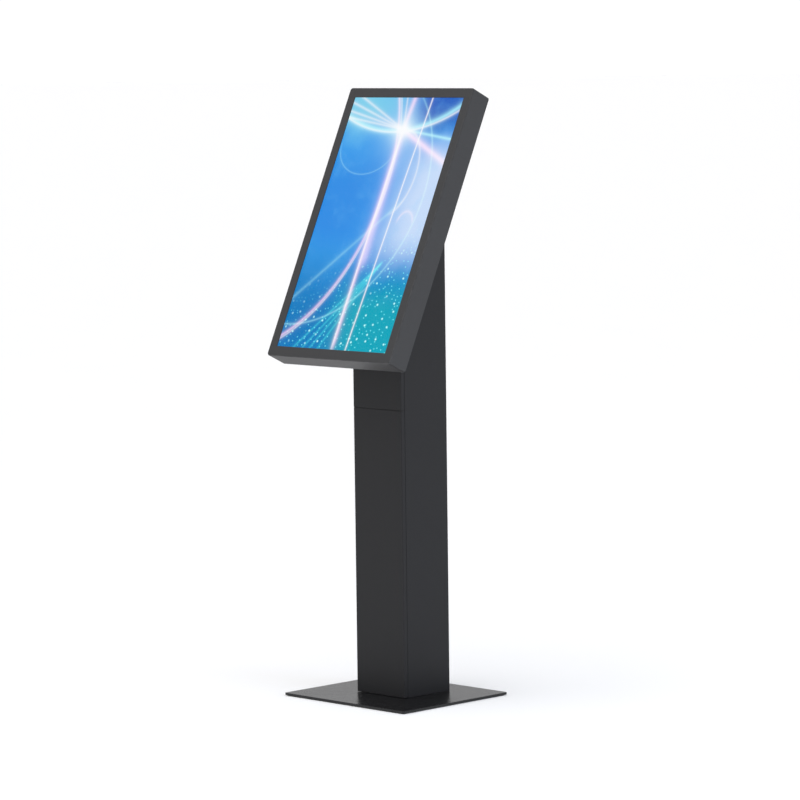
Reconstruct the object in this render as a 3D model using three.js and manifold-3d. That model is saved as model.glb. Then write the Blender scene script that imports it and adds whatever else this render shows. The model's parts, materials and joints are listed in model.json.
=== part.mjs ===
// A free-standing touchscreen kiosk: a steel floor plate, a square sheet-metal column with a lockable rear
// door, and a portrait display head that leans back on the column's slanted top.
// Millimetres, +Z up. The visitor stands at -Y. The origin is on the floor, on the column's centre line.
import * as THREE from "three";
import { mergeVertices } from "three/addons/utils/BufferGeometryUtils.js";
import Module from "manifold-3d";

const wasm = await Module();
wasm.setup();

// ---------------------------------------------------------------------------------- driving dimensions

// Fits
const GAP = 0.3; // between two pieces that touch
const REVEAL = 2; // open joint round a door and between two cover panels
const SHEET = 2; // folded sheet steel of the column and the head

// Floor plate and the mat under it
const PLATE_W = 438;
const PLATE_D = 386;
const PLATE_T = 6;
const PLATE_CORNER_R = 6;
const PLATE_FORWARD = 29; // the plate's middle lies this far ahead of the column's
const MAT_T = 2;
const MAT_INSET = 5;

// Column
const COLUMN_W = 174;
const COLUMN_D = 168;
const FLANGE = 20; // inward folds of the side panels, behind the front panels and beside the rear door
const FRONT_RETURN = 12; // how far the front panels wrap round the column's corners
const PANEL_RIB = 16; // inward ribs of the front panels
const SEAM_Z = 755; // middle of the joint between the two front panels
const EDGE_JOINT = 1; // between a front panel's return and the side panel
const IO_PANEL_TOP = 112; // top of the recessed panel with the power inlet
const NECK_BACK_H = 200; // fixed panel between the rear door and the shoulder
const DOOR_RETURN = 12; // depth of the rear door's folded edges

// Foot of the column
const FOOT_T = 4;
const FOOT_BOLT_X = 55;
const FOOT_BOLT_Y = 50;
const FOOT_BOLT_R = 4;
const FOOT_BOLT_ACROSS = 13;

// Display head, measured in its own leaning frame
const TILT = THREE.MathUtils.degToRad(25); // from upright
const SCREEN_W = 392;
const SCREEN_H = 698;
const BEZEL = 28;
const SCREEN_MARGIN = 1; // dark rim of glass inside the bezel's opening
const HEAD_D = 62;
const HEAD_CORNER_R = 8;
const HEAD_REACH = 262; // its lower front edge stands this far ahead of the column's middle
const HEAD_LOW_Z = 896; // height of its lower front edge

// Head contents
const GLASS_T = 4;
const GLASS_LAP = 7; // how far the glass runs behind the bezel
const LCD_T = 14;
const LCD_LAP = 5.5;
const CHASSIS_T = 2;
const RAIL_X = 60;
const RAIL_W = 25;
const RAIL_LOW = 60;
const MOUNT_PLATE_T = 4;
const MOUNT_BOLT_R = 3;
const MOUNT_BOLT_ACROSS = 10;
const MOUNT_BOLT_LENGTH = 16;
const MOUNT_BOLT_MARGIN = 24; // from the mounting plate's upper and lower edges
const CABLE_HOLE_W = 70;
const CABLE_HOLE_H = 44;
const FAN_SIZE = 60;
const FAN_T = 15;
const FAN_MARGIN = 24; // from the head's side to the fan
const HATCH_TOP_MARGIN = 38; // from the head's top to the hatch's opening
const HATCH_H = 156;
const HATCH_TO_FAN = 30;
const NECK_TO_HATCH = 40; // from the column's shoulder to the hatch's opening
const PLAYER_W = 140;
const PLAYER_H = 124;
const PLAYER_T = 17;
const SPEAKER_W = 90;
const SPEAKER_H = 46;
const SPEAKER_MARGIN = 24; // from the head's inner wall
const SPEAKER_UP = 52;
const SPEAKER_BEHIND = 8.5; // from the display's chassis to the speakers
const BOARD_W = 90;
const BOARD_H = 150;

// Cam locks
const LOCK_R = 9; // threaded body
const LOCK_BODY = 14; // from the door's face to the end of the body
const LOCK_PLUG_R = 6;
const LOCK_RIM_R = 12;
const LOCK_RIM_T = 2;
const KEYHOLE_W = 1.6;
const KEYHOLE_H = 8;
const KEYHOLE_DEPTH = 6;
const LOCK_EDGE = 22; // from the lock's axis to the door's free edge
const CAM_T = 3;
const CAM_W = 14;
const CAM_LENGTH = 32;
const STRIKE_GAP = 0.5; // between the turned cam and its strike
const STRIKE_H = 40;

// Hinges
const LEAF_T = 1.5;
const KNUCKLE_R = 3.5;
const HINGE_PIN_R = 1.5;
const DOOR_HINGE_H = 70;
const DOOR_HINGE_LEAF = 18;
const DOOR_HINGE_INSET = 90; // from the door's ends to the middles of its hinges
const HATCH_HINGE_LEAF = 14;
const HATCH_HINGE_INSET = 10;

// Power inlet, switch and network socket on the recessed panel
const IO_Z = 62;
const INLET_X = -24;
const SWITCH_X = 14;
const JACK_X = 38;
const ROCKER_TILT = THREE.MathUtils.degToRad(9);
const ROCKER_PLAY = 0.8; // above and below the rocker
const IO_FLANGE_T = 2.5;
const INLET = {
  flange: [46, 30],
  body: [30, 24],
  depth: 30,
  cavity: [24, 16, 19],
};
const SWITCH = {
  flange: [18, 26],
  body: [15, 22],
  depth: 16,
  cavity: [11.6, 19, 11],
};
const JACK = {
  flange: [18, 22],
  body: [15, 17],
  depth: 24,
  cavity: [12, 9, 15],
};

// Power supply and wiring
const SUPPLY_W = 88;
const SUPPLY_D = 52;
const SUPPLY_H = 190;
const HARNESS_R = 5;
const LEAD_R = 3.5;
const WIRING_INSET = 16; // from the column's inner walls to the cable's centre line

// ---------------------------------------------------------------------------------- derived dimensions

const PLATE_Z = MAT_T + GAP;
const COLUMN_Z = PLATE_Z + PLATE_T + GAP;
const FRONT_Y = -COLUMN_D / 2;
const BACK_Y = COLUMN_D / 2;
const WALL_X = COLUMN_W / 2; // outside of a side panel
const IO_FACE_Y = BACK_Y - SHEET - GAP; // outer face of the recessed panel
const SIDE_FRONT_Y = FRONT_Y + FRONT_RETURN + EDGE_JOINT;
const INNER_X = WALL_X - SHEET - GAP; // half width of what fits between the side panels

const HEAD_W = SCREEN_W + 2 * BEZEL;
const HEAD_H = SCREEN_H + 2 * BEZEL;
const OPENING_W = SCREEN_W + 2 * SCREEN_MARGIN;
const OPENING_H = SCREEN_H + 2 * SCREEN_MARGIN;
const GLASS_Y = SHEET + GAP;
const LCD_Y = GLASS_Y + GLASS_T + GAP;
const CHASSIS_Y = LCD_Y + LCD_T + GAP;
const BAY_Y = CHASSIS_Y + CHASSIS_T + GAP; // where the space behind the display begins
const COVER_Y = HEAD_D - SHEET;
const HATCH_HALF = HEAD_W / 2 - FAN_MARGIN - FAN_SIZE - HATCH_TO_FAN;
const HATCH_TOP = HEAD_H - HATCH_TOP_MARGIN;
const HATCH_LOW = HATCH_TOP - HATCH_H;
const HATCH_MID = (HATCH_TOP + HATCH_LOW) / 2;
const FAN_X = HEAD_W / 2 - FAN_MARGIN - FAN_SIZE / 2;
const NECK_TOP = HATCH_LOW - NECK_TO_HATCH; // up the head's back

const PLAYER_X = -HATCH_HALF + 10 + PLAYER_W / 2;
const SPEAKER_T = COVER_Y - GAP - BAY_Y - SPEAKER_BEHIND;
const SPEAKER_X = HEAD_W / 2 - SHEET - SPEAKER_MARGIN - SPEAKER_W / 2;

// World [y, z] of a point in the head's frame: depth behind its front face, and distance up that face.
function headPoint(depth, up) {
  return [
    -HEAD_REACH + depth * Math.cos(TILT) + up * Math.sin(TILT),
    HEAD_LOW_Z - depth * Math.sin(TILT) + up * Math.cos(TILT),
  ];
}

// Distance up the head at which a plane at this depth crosses world y.
function upAt(y, depth) {
  return (y + HEAD_REACH - depth * Math.cos(TILT)) / Math.sin(TILT);
}

const SADDLE = HEAD_D + 2 * GAP; // depth of the plane that the column's slanted top ends on
const [SHOULDER_Y, SHOULDER_Z] = headPoint(SADDLE, NECK_TOP);
const SHOULDER_BACK_Z = SHOULDER_Z - (BACK_Y - SHOULDER_Y) * Math.tan(TILT);
const NECK_Z = SHOULDER_BACK_Z - NECK_BACK_H;
const MOUNT_LOW = upAt(FRONT_Y + SHEET + PANEL_RIB + GAP, SADDLE);
const MOUNT_TOP = NECK_TOP - SHEET - GAP;
const MOUNT_MID = (MOUNT_LOW + MOUNT_TOP) / 2;
const MOUNT_BOLT_ROWS = [MOUNT_LOW + MOUNT_BOLT_MARGIN, MOUNT_TOP - MOUNT_BOLT_MARGIN];
const MOUNT_BOLT_PLACES = MOUNT_BOLT_ROWS.flatMap((up) => [[-RAIL_X, up], [RAIL_X, up]]);

const DOOR_HALF = WALL_X - FLANGE - REVEAL;
const DOOR_LOW = IO_PANEL_TOP + REVEAL;
const DOOR_TOP = NECK_Z - REVEAL;
const DOOR_MID = (DOOR_LOW + DOOR_TOP) / 2;
const DOOR_LOCK_X = -DOOR_HALF + LOCK_EDGE;
const HATCH_LOCK_X = HATCH_HALF - REVEAL - LOCK_EDGE;
const CAM_DEPTH = LOCK_BODY + 2 * GAP + CAM_T; // from a door's face to the back of its cam
const STRIKE_DEPTH = CAM_DEPTH - CAM_T - STRIKE_GAP; // from a door's face to its strike's end

// ------------------------------------------------------------------------------------------- materials

function finish(color, roughness, metalness, opacity = 1) {
  return new THREE.MeshStandardMaterial({ color, roughness, metalness, opacity, transparent: opacity < 1 });
}

const HEAD_PAINT = finish(0x3f3f43, 0.5, 0.2);
const COLUMN_PAINT = finish(0x2b2c2f, 0.5, 0.2);
const PLATE_PAINT = finish(0x1d1d1f, 0.35, 0.3);
const BARE_STEEL = finish(0xa6a8ab, 0.35, 0.9);
const CHROME = finish(0xd5d7da, 0.12, 1);
const BLACK_PLASTIC = finish(0x151517, 0.5, 0);
const RUBBER = finish(0x0d0d0e, 0.9, 0);
const GLASS = finish(0x99b8cc, 0.05, 0, 0.3);
const SCREEN = finish(0x2f8fe0, 0.3, 0);
const CIRCUIT_GREEN = finish(0x17502f, 0.55, 0.1);

// --------------------------------------------------------------------------------------- shape helpers

const X_AXIS = new THREE.Vector3(1, 0, 0);
const Y_AXIS = new THREE.Vector3(0, 1, 0);
const Z_AXIS = new THREE.Vector3(0, 0, 1);

// The closed body of a geometry, ready to be cut or joined.
function solid(geometry) {
  const bare = geometry.index ? geometry.toNonIndexed() : geometry.clone();
  bare.deleteAttribute("normal");
  bare.deleteAttribute("uv");
  const merged = mergeVertices(bare, 1e-4);
  const vertProperties = merged.getAttribute("position").array;
  const triVerts = new Uint32Array(merged.index.array);
  return new wasm.Manifold(new wasm.Mesh({ numProp: 3, vertProperties, triVerts }));
}

function geometryOf(body) {
  const { vertProperties, triVerts } = body.getMesh();
  const geometry = new THREE.BufferGeometry();
  geometry.setAttribute("position", new THREE.BufferAttribute(vertProperties, 3));
  geometry.setIndex(new THREE.BufferAttribute(triVerts, 1));
  geometry.computeVertexNormals();
  return geometry;
}

function join(first, ...rest) {
  return geometryOf(rest.reduce((body, part) => body.add(solid(part)), solid(first)));
}

function cut(first, ...rest) {
  return geometryOf(rest.reduce((body, part) => body.subtract(solid(part)), solid(first)));
}

function common(first, second) {
  return geometryOf(solid(first).intersect(solid(second)));
}

// A box over [low, high] ranges of x, y and z.
function span(x, y, z) {
  const box = new THREE.BoxGeometry(x[1] - x[0], y[1] - y[0], z[1] - z[0]);
  return box.translate((x[0] + x[1]) / 2, (y[0] + y[1]) / 2, (z[0] + z[1]) / 2);
}

const middle = (half) => [-half, half];
const polygon = (points) => new THREE.Shape(points.map(([x, y]) => new THREE.Vector2(x, y)));

function roundedRectangle(width, height, radius, x = 0, y = 0, Outline = THREE.Shape) {
  const [w, h] = [width / 2 - radius, height / 2 - radius];
  const outline = new Outline();
  outline.absarc(x + w, y + h, radius, 0, Math.PI / 2);
  outline.absarc(x - w, y + h, radius, Math.PI / 2, Math.PI);
  outline.absarc(x - w, y - h, radius, Math.PI, 1.5 * Math.PI);
  outline.absarc(x + w, y - h, radius, 1.5 * Math.PI, 2 * Math.PI);
  outline.closePath();
  return outline;
}

function roundHole(x, y, radius, sides = 12) {
  const turn = (i) => (2 * Math.PI * i) / sides;
  const corner = (i) => new THREE.Vector2(x + radius * Math.cos(turn(i)), y + radius * Math.sin(turn(i)));
  return new THREE.Path(Array.from({ length: sides }, (_, i) => corner(i)));
}

// A level slot with its ends cut at 45 degrees.
function slot(x, y, width, height) {
  const [w, h, end] = [width / 2, height / 2, width / 2 - height / 3];
  const upper = [[w, h / 3], [end, h], [-end, h], [-w, h / 3]];
  const lower = upper.map(([dx, dy]) => [-dx, -dy]);
  return new THREE.Path([...upper, ...lower].map(([dx, dy]) => new THREE.Vector2(x + dx, y + dy)));
}

// A column of level slots, one pitch apart, centred on (x, y).
function slotBank(x, y, width, count, pitch, height = 4) {
  return Array.from({ length: count }, (_, i) => slot(x, y + (i - (count - 1) / 2) * pitch, width, height));
}

function extrude(shape, depth, curveSegments) {
  return new THREE.ExtrudeGeometry(shape, { depth, bevelEnabled: false, curveSegments });
}

// A flat outline raised from z = 0.
function raised(shape, height, holes = [], curveSegments = 2) {
  shape.holes.push(...holes);
  return extrude(shape, height, curveSegments);
}

// An outline in x and z, thickened from y = 0 to y = depth.
function upright(shape, depth, holes = [], curveSegments = 1) {
  shape.holes.push(...holes);
  const geometry = extrude(shape, depth, curveSegments);
  geometry.applyMatrix4(new THREE.Matrix4().makeBasis(X_AXIS, Z_AXIS, Y_AXIS.clone().negate()));
  return geometry.translate(0, depth, 0);
}

// An outline in y and z, spread over a width that is centred on x = 0.
function crosswise(shape, width) {
  const geometry = extrude(shape, width, 1);
  geometry.applyMatrix4(new THREE.Matrix4().makeBasis(Y_AXIS, Z_AXIS, X_AXIS));
  return geometry.translate(-width / 2, 0, 0);
}

// A solid of revolution about y, from [radius, y] pairs that start and end on the axis or on one another.
const turned = (profile, segments = 24) =>
  new THREE.LatheGeometry(profile.map(([r, y]) => new THREE.Vector2(r, y)), segments);

// A plain cylinder along y over [low, high].
const rod = (radius, [low, high], segments = 16) =>
  new THREE.CylinderGeometry(radius, radius, high - low, segments).translate(0, (low + high) / 2, 0);

// A round cable along a smooth curve through the points.
function cable(points, radius, steps) {
  const curve = new THREE.CatmullRomCurve3(points.map((p) => new THREE.Vector3(...p)), false, "centripetal");
  const section = new THREE.Shape().absarc(0, 0, radius, 0, 2 * Math.PI);
  return new THREE.ExtrudeGeometry(section, { steps, extrudePath: curve, curveSegments: 4 });
}

function piece(name, geometry, material, [x, y, z] = [0, 0, 0]) {
  const mesh = new THREE.Mesh(geometry, material);
  mesh.name = name;
  mesh.position.set(x, y, z);
  return mesh;
}

function group(pieces, [x, y, z] = [0, 0, 0]) {
  const made = new THREE.Group();
  made.add(...pieces);
  made.position.set(x, y, z);
  return made;
}

// --------------------------------------------------------------------------------------- shared pieces

// A hexagon bolt along y, its head's underside at y = 0 and its shank towards -y.
function hexBolt(radius, across, length) {
  const head = rod(across / Math.sqrt(3), [0, radius * 1.3], 6);
  return join(head, rod(radius, [-length, radius], 12));
}

// A cam lock. Its axis is y, the door's outer face is at y = 0 and the cam points up. The barrel is fixed in
// the door, and the plug and cam turn together.
function camLock(name, at) {
  const rim = [GAP, GAP + LOCK_RIM_T];
  const bore = LOCK_PLUG_R + GAP;
  const barrel = turned([
    [bore, -LOCK_BODY],
    [LOCK_R, -LOCK_BODY],
    [LOCK_R, rim[0]],
    [LOCK_RIM_R, rim[0]],
    [LOCK_RIM_R - 1, rim[1]],
    [bore, rim[1]],
    [bore, -LOCK_BODY],
  ]);
  const keyhole = span(middle(KEYHOLE_W / 2), [rim[1] - KEYHOLE_DEPTH, rim[1] + 1], middle(KEYHOLE_H / 2));
  const plug = cut(rod(LOCK_PLUG_R, [-LOCK_BODY - GAP, rim[1]], 20), keyhole);
  const arm = polygon([
    [-CAM_W / 2, -CAM_W / 2],
    [CAM_W / 2, -CAM_W / 2],
    [CAM_W / 2, CAM_LENGTH - CAM_W / 2],
    [CAM_W / 4, CAM_LENGTH],
    [-CAM_W / 4, CAM_LENGTH],
    [-CAM_W / 2, CAM_LENGTH - CAM_W / 2],
  ]);
  return group(
    [
      piece(`${name}_barrel`, barrel, CHROME),
      piece(`${name}_plug`, plug, CHROME),
      piece(`${name}_cam`, upright(arm, CAM_T), BARE_STEEL, [0, -CAM_DEPTH, 0]),
    ],
    at,
  );
}

// A butt hinge with its pin along z through the origin, lying on a face at y = -KNUCKLE_R. The frame's leaf
// is on the side of +x when side is 1, and the door's is opposite. The frame's leaf has the end knuckles.
function buttHinge(name, height, leaf, knuckles, side, at) {
  const pitch = height / knuckles;
  const root = KNUCKLE_R + 2 * GAP;
  const bore = rod(HINGE_PIN_R + GAP, middle(height), 10).rotateX(Math.PI / 2);
  const wing = (direction, first) => {
    const outward = (low, high) => (direction > 0 ? [low, high] : [-high, -low]);
    const skin = [-KNUCKLE_R, -KNUCKLE_R + LEAF_T];
    const parts = [span(outward(root, leaf), skin, middle(height / 2))];
    for (let i = first; i < knuckles; i += 2) {
      const z = (i + 0.5) * pitch - height / 2;
      const half = pitch / 2 - GAP / 2;
      parts.push(span(outward(0, root + 1), skin, [z - half, z + half]));
      parts.push(rod(KNUCKLE_R, middle(half), 12).rotateX(Math.PI / 2).translate(0, 0, z));
    }
    return cut(join(...parts), bore);
  };
  const pin = rod(HINGE_PIN_R, middle(height / 2 + 1), 10).rotateX(Math.PI / 2);
  return group(
    [
      piece(`${name}_frame_leaf`, wing(side, 0), BARE_STEEL),
      piece(`${name}_door_leaf`, wing(-side, 1), BARE_STEEL),
      piece(`${name}_pin`, pin, BARE_STEEL),
    ],
    at,
  );
}

// -------------------------------------------------------------------------------------------- the base

function base() {
  const y = -PLATE_FORWARD;
  const bolts = [-1, 1].flatMap((sx) => [-1, 1].map((sy) => [sx * FOOT_BOLT_X, sy * FOOT_BOLT_Y]));
  const holes = (offset) => bolts.map(([hx, hy]) => roundHole(hx, hy + offset, FOOT_BOLT_R + GAP));
  const mat = roundedRectangle(PLATE_W - 2 * MAT_INSET, PLATE_D - 2 * MAT_INSET, PLATE_CORNER_R);
  const plate = roundedRectangle(PLATE_W, PLATE_D, PLATE_CORNER_R);
  const footBack = BACK_Y - 2 * SHEET - 2 * GAP;
  const footFront = FRONT_Y + SHEET + PANEL_RIB + GAP;
  const foot = polygon([
    [-INNER_X, footFront],
    [INNER_X, footFront],
    [INNER_X, footBack],
    [-INNER_X, footBack],
  ]);
  const bolt = hexBolt(FOOT_BOLT_R, FOOT_BOLT_ACROSS, FOOT_T + PLATE_T).rotateX(Math.PI / 2);
  const boltZ = COLUMN_Z + FOOT_T + GAP;
  return group([
    piece("base_mat", raised(mat, MAT_T), RUBBER, [0, y, 0]),
    piece("base_plate", raised(plate, PLATE_T, holes(-y)), PLATE_PAINT, [0, y, PLATE_Z]),
    piece("foot_plate", raised(foot, FOOT_T, holes(0)), BARE_STEEL, [0, 0, COLUMN_Z]),
    ...bolts.map(([bx, by], i) => piece(`foot_bolt_${i + 1}`, bolt, BARE_STEEL, [bx, by, boltZ])),
  ]);
}

// ------------------------------------------------------------------------------------------ the column

// The column's outline from the side, in y and z: upright at front and back, slanted where the head lies on
// it, with a shoulder at right angles to the head.
function columnOutline(frontY) {
  const slantLow = headPoint(SADDLE, upAt(frontY, SADDLE));
  return polygon([
    [frontY, COLUMN_Z],
    [BACK_Y, COLUMN_Z],
    [BACK_Y, SHOULDER_BACK_Z],
    [SHOULDER_Y, SHOULDER_Z],
    slantLow,
  ]);
}

// A side panel is a wall with folds along its front and back edges. The rear fold stops below the neck panel.
function sidePanel(side) {
  const fold = WALL_X - FLANGE;
  const wallIn = WALL_X - SHEET;
  const plan = [
    [WALL_X, SIDE_FRONT_Y],
    [WALL_X, BACK_Y],
    [fold, BACK_Y],
    [fold, BACK_Y - SHEET],
    [wallIn, BACK_Y - SHEET],
    [wallIn, SIDE_FRONT_Y + SHEET],
    [fold, SIDE_FRONT_Y + SHEET],
    [fold, SIDE_FRONT_Y],
  ];
  const folded = raised(polygon(plan), SHOULDER_Z);
  const trimmed = common(folded, crosswise(columnOutline(SIDE_FRONT_Y), 2 * COLUMN_W));
  const aboveDoor = span([0, wallIn], [BACK_Y - SHEET - GAP, BACK_Y + 1], [NECK_Z - GAP, SHOULDER_Z]);
  const panel = solid(cut(trimmed, aboveDoor));
  return geometryOf(side > 0 ? panel : panel.mirror([1, 0, 0]));
}

// A front panel: a shallow tray that wraps round the column's corners, with two ribs that drop between the
// side panels' folds.
function frontPanel(low, high) {
  const rib = WALL_X - FLANGE - 0.5;
  const back = FRONT_Y + SHEET;
  const rightHalf = [
    [WALL_X, FRONT_Y],
    [WALL_X, FRONT_Y + FRONT_RETURN],
    [WALL_X - SHEET, FRONT_Y + FRONT_RETURN],
    [WALL_X - SHEET, back],
    [rib, back],
    [rib, back + PANEL_RIB],
    [rib - SHEET, back + PANEL_RIB],
    [rib - SHEET, back],
  ];
  const leftHalf = rightHalf.map(([x, y]) => [-x, y]).reverse();
  const folded = raised(polygon([...rightHalf, ...leftHalf]), high - low).translate(0, 0, low);
  return common(folded, crosswise(columnOutline(FRONT_Y), 2 * COLUMN_W));
}

// The fixed sheet above the rear door, folded over the shoulder between the two side panels.
function neckPanel() {
  const down = [-SHEET * Math.sin(TILT), -SHEET * Math.cos(TILT)];
  const inner = [SHOULDER_Y + down[0], SHOULDER_Z + down[1]];
  const backIn = BACK_Y - SHEET;
  const outline = polygon([
    [BACK_Y, NECK_Z],
    [BACK_Y, SHOULDER_BACK_Z],
    [SHOULDER_Y, SHOULDER_Z],
    inner,
    [backIn, inner[1] - (backIn - inner[0]) * Math.tan(TILT)],
    [backIn, NECK_Z],
  ]);
  return crosswise(outline, 2 * INNER_X);
}

function column() {
  const ioOutline = polygon([
    [-INNER_X, COLUMN_Z + 1],
    [INNER_X, COLUMN_Z + 1],
    [INNER_X, IO_PANEL_TOP],
    [-INNER_X, IO_PANEL_TOP],
  ]);
  const ioHole = ({ body }, x) => {
    return roundedRectangle(body[0] + 2 * GAP, body[1] + 2 * GAP, 1, x, IO_Z, THREE.Path);
  };
  const ioHoles = [ioHole(INLET, INLET_X), ioHole(SWITCH, SWITCH_X), ioHole(JACK, JACK_X)];
  const strikeIn = BACK_Y - STRIKE_DEPTH;
  const strikeReach = [-INNER_X, -WALL_X + FLANGE - 1];
  const strike = span(strikeReach, [strikeIn, BACK_Y - SHEET - GAP], middle(STRIKE_H / 2));
  return group([
    piece("side_panel_left", sidePanel(-1), COLUMN_PAINT),
    piece("side_panel_right", sidePanel(1), COLUMN_PAINT),
    piece("front_lower_panel", frontPanel(COLUMN_Z + EDGE_JOINT, SEAM_Z - REVEAL / 2), COLUMN_PAINT),
    piece("front_upper_panel", frontPanel(SEAM_Z + REVEAL / 2, SHOULDER_Z), COLUMN_PAINT),
    piece("rear_neck_panel", neckPanel(), COLUMN_PAINT),
    piece("io_panel", upright(ioOutline, SHEET, ioHoles), COLUMN_PAINT, [0, IO_FACE_Y - SHEET, 0]),
    piece("lock_strike", strike, BARE_STEEL, [0, 0, DOOR_MID]),
  ]);
}

// ------------------------------------------------------------------------------------------- rear door

function rearDoor() {
  const width = 2 * DOOR_HALF;
  const height = DOOR_TOP - DOOR_LOW;
  const vents = [DOOR_LOW + 90, DOOR_TOP - 90].flatMap((z) => slotBank(0, z - DOOR_MID, 84, 7, 12));
  const lockHole = roundHole(DOOR_LOCK_X, 0, LOCK_R + GAP, 24);
  const face = upright(roundedRectangle(width, height, 1), SHEET, [...vents, lockHole]);
  const rim = upright(roundedRectangle(width, height, 1), DOOR_RETURN - SHEET, [
    roundedRectangle(width - 2 * SHEET, height - 2 * SHEET, 0.5, 0, 0, THREE.Path),
  ]);
  const tray = join(face.translate(0, BACK_Y - SHEET, 0), rim.translate(0, BACK_Y - DOOR_RETURN, 0));
  const hinges = [
    ["door_hinge_lower", DOOR_LOW + DOOR_HINGE_INSET],
    ["door_hinge_upper", DOOR_TOP - DOOR_HINGE_INSET],
  ].map(([name, z]) => {
    const at = [DOOR_HALF + REVEAL / 2, BACK_Y + GAP + KNUCKLE_R, z];
    return buttHinge(name, DOOR_HINGE_H, DOOR_HINGE_LEAF, 5, 1, at);
  });
  return group([
    piece("rear_door", tray, COLUMN_PAINT, [0, 0, DOOR_MID]),
    camLock("door_lock", [DOOR_LOCK_X, BACK_Y, DOOR_MID]),
    ...hinges,
  ]);
}

// ----------------------------------------------------------------------------------- power and network

// A flanged housing on the recessed panel, its flange's face at y = 0, with an open socket in it.
function flangedHousing({ flange, body, depth, cavity }) {
  const rim = upright(roundedRectangle(...flange, 2), IO_FLANGE_T).translate(0, -IO_FLANGE_T, 0);
  const shell = span(middle(body[0] / 2), [-depth, -IO_FLANGE_T / 2], middle(body[1] / 2));
  const socket = span(middle(cavity[0] / 2), [-cavity[2], 1], middle(cavity[1] / 2));
  return cut(join(rim, shell), socket);
}

function powerInlet() {
  const floor = -INLET.cavity[2];
  const places = [[-7, -2], [0, 2], [7, -2]];
  const blades = places.map(([x, z]) => span([x - 1, x + 1], [floor - 1, floor + 13], [z - 2, z + 2]));
  return join(flangedHousing(INLET), ...blades);
}

function rocker() {
  const half = SWITCH.cavity[1] / 2 - ROCKER_PLAY;
  const swell = half * Math.tan(ROCKER_TILT);
  const outline = polygon([
    [-6, -3],
    [-2, -half],
    [swell, -half],
    [0, 0],
    [swell, half],
    [-2, half],
    [-6, 3],
  ]);
  return crosswise(outline, SWITCH.cavity[0] - 2 * GAP).rotateX(-ROCKER_TILT);
}

function electrics() {
  const faceY = IO_FACE_Y + GAP + IO_FLANGE_T;
  const supplyLow = COLUMN_Z + FOOT_T + GAP;
  const supplyTop = supplyLow + SUPPLY_H;
  const supplyFront = FRONT_Y + SHEET + PANEL_RIB + 4;
  const supplyMid = supplyFront + SUPPLY_D / 2;
  const wallX = -INNER_X + WIRING_INSET;
  const wallY = SIDE_FRONT_Y + SHEET + WIRING_INSET;
  const [throughY, throughZ] = headPoint(HEAD_D, MOUNT_MID);
  const [behindY, behindZ] = headPoint(HEAD_D + 60, MOUNT_MID);
  const playerDepth = BAY_Y + PLAYER_T / 2;
  const playerLow = HATCH_MID - PLAYER_H / 2 - GAP;
  const [insideY, insideZ] = headPoint(playerDepth, playerLow - 50);
  const [nearY, nearZ] = headPoint(playerDepth, playerLow - 20);
  const [plugY, plugZ] = headPoint(playerDepth, playerLow);
  const plugX = PLAYER_X + PLAYER_W / 4;
  const harness = [
    [-SUPPLY_W / 4, supplyMid, supplyTop + GAP],
    [-SUPPLY_W / 4, supplyMid, supplyTop + 25],
    [wallX, wallY, supplyTop + 85],
    [wallX, wallY, supplyTop + 130],
    [wallX, wallY, SEAM_Z],
    [wallX, wallY, behindZ - 190],
    [wallX / 2, (wallY + behindY) / 2, behindZ - 80],
    [-5, behindY, behindZ],
    [0, throughY, throughZ],
    [plugX / 2, insideY, insideZ],
    [plugX, nearY, nearZ],
    [plugX, plugY, plugZ],
  ];
  const supplyBack = supplyMid + SUPPLY_D / 2 + GAP;
  const lead = [
    [INLET_X, faceY - INLET.depth - GAP, IO_Z],
    [INLET_X, faceY - INLET.depth - 16, IO_Z],
    [INLET_X, supplyBack + 16, IO_Z + 36],
    [INLET_X, supplyBack, IO_Z + 36],
  ];
  const supply = new THREE.BoxGeometry(SUPPLY_W, SUPPLY_D, SUPPLY_H);
  return group([
    piece("power_inlet", powerInlet(), BLACK_PLASTIC, [INLET_X, faceY, IO_Z]),
    piece("switch_housing", flangedHousing(SWITCH), BLACK_PLASTIC, [SWITCH_X, faceY, IO_Z]),
    piece("power_rocker", rocker(), BLACK_PLASTIC, [SWITCH_X, faceY - 2, IO_Z]),
    piece("network_socket", flangedHousing(JACK), BLACK_PLASTIC, [JACK_X, faceY, IO_Z]),
    piece("power_supply", supply, BARE_STEEL, [0, supplyMid, supplyLow + SUPPLY_H / 2]),
    piece("inlet_lead", cable(lead, LEAD_R, 12), RUBBER),
    piece("wiring_harness", cable(harness, HARNESS_R, 60), RUBBER),
  ]);
}

// -------------------------------------------------------------------------------------------- the head

// Bezel and four sides in one folded and welded shell, open at the back.
function frontHousing() {
  const shell = upright(roundedRectangle(HEAD_W, HEAD_H, HEAD_CORNER_R), HEAD_D, [], 3);
  const inner = roundedRectangle(HEAD_W - 2 * SHEET, HEAD_H - 2 * SHEET, HEAD_CORNER_R - SHEET);
  const pocket = upright(inner, HEAD_D, [], 3).translate(0, SHEET, 0);
  const window = span(middle(OPENING_W / 2), [-1, SHEET + 1], middle(OPENING_H / 2));
  return cut(shell, pocket, window);
}

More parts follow.
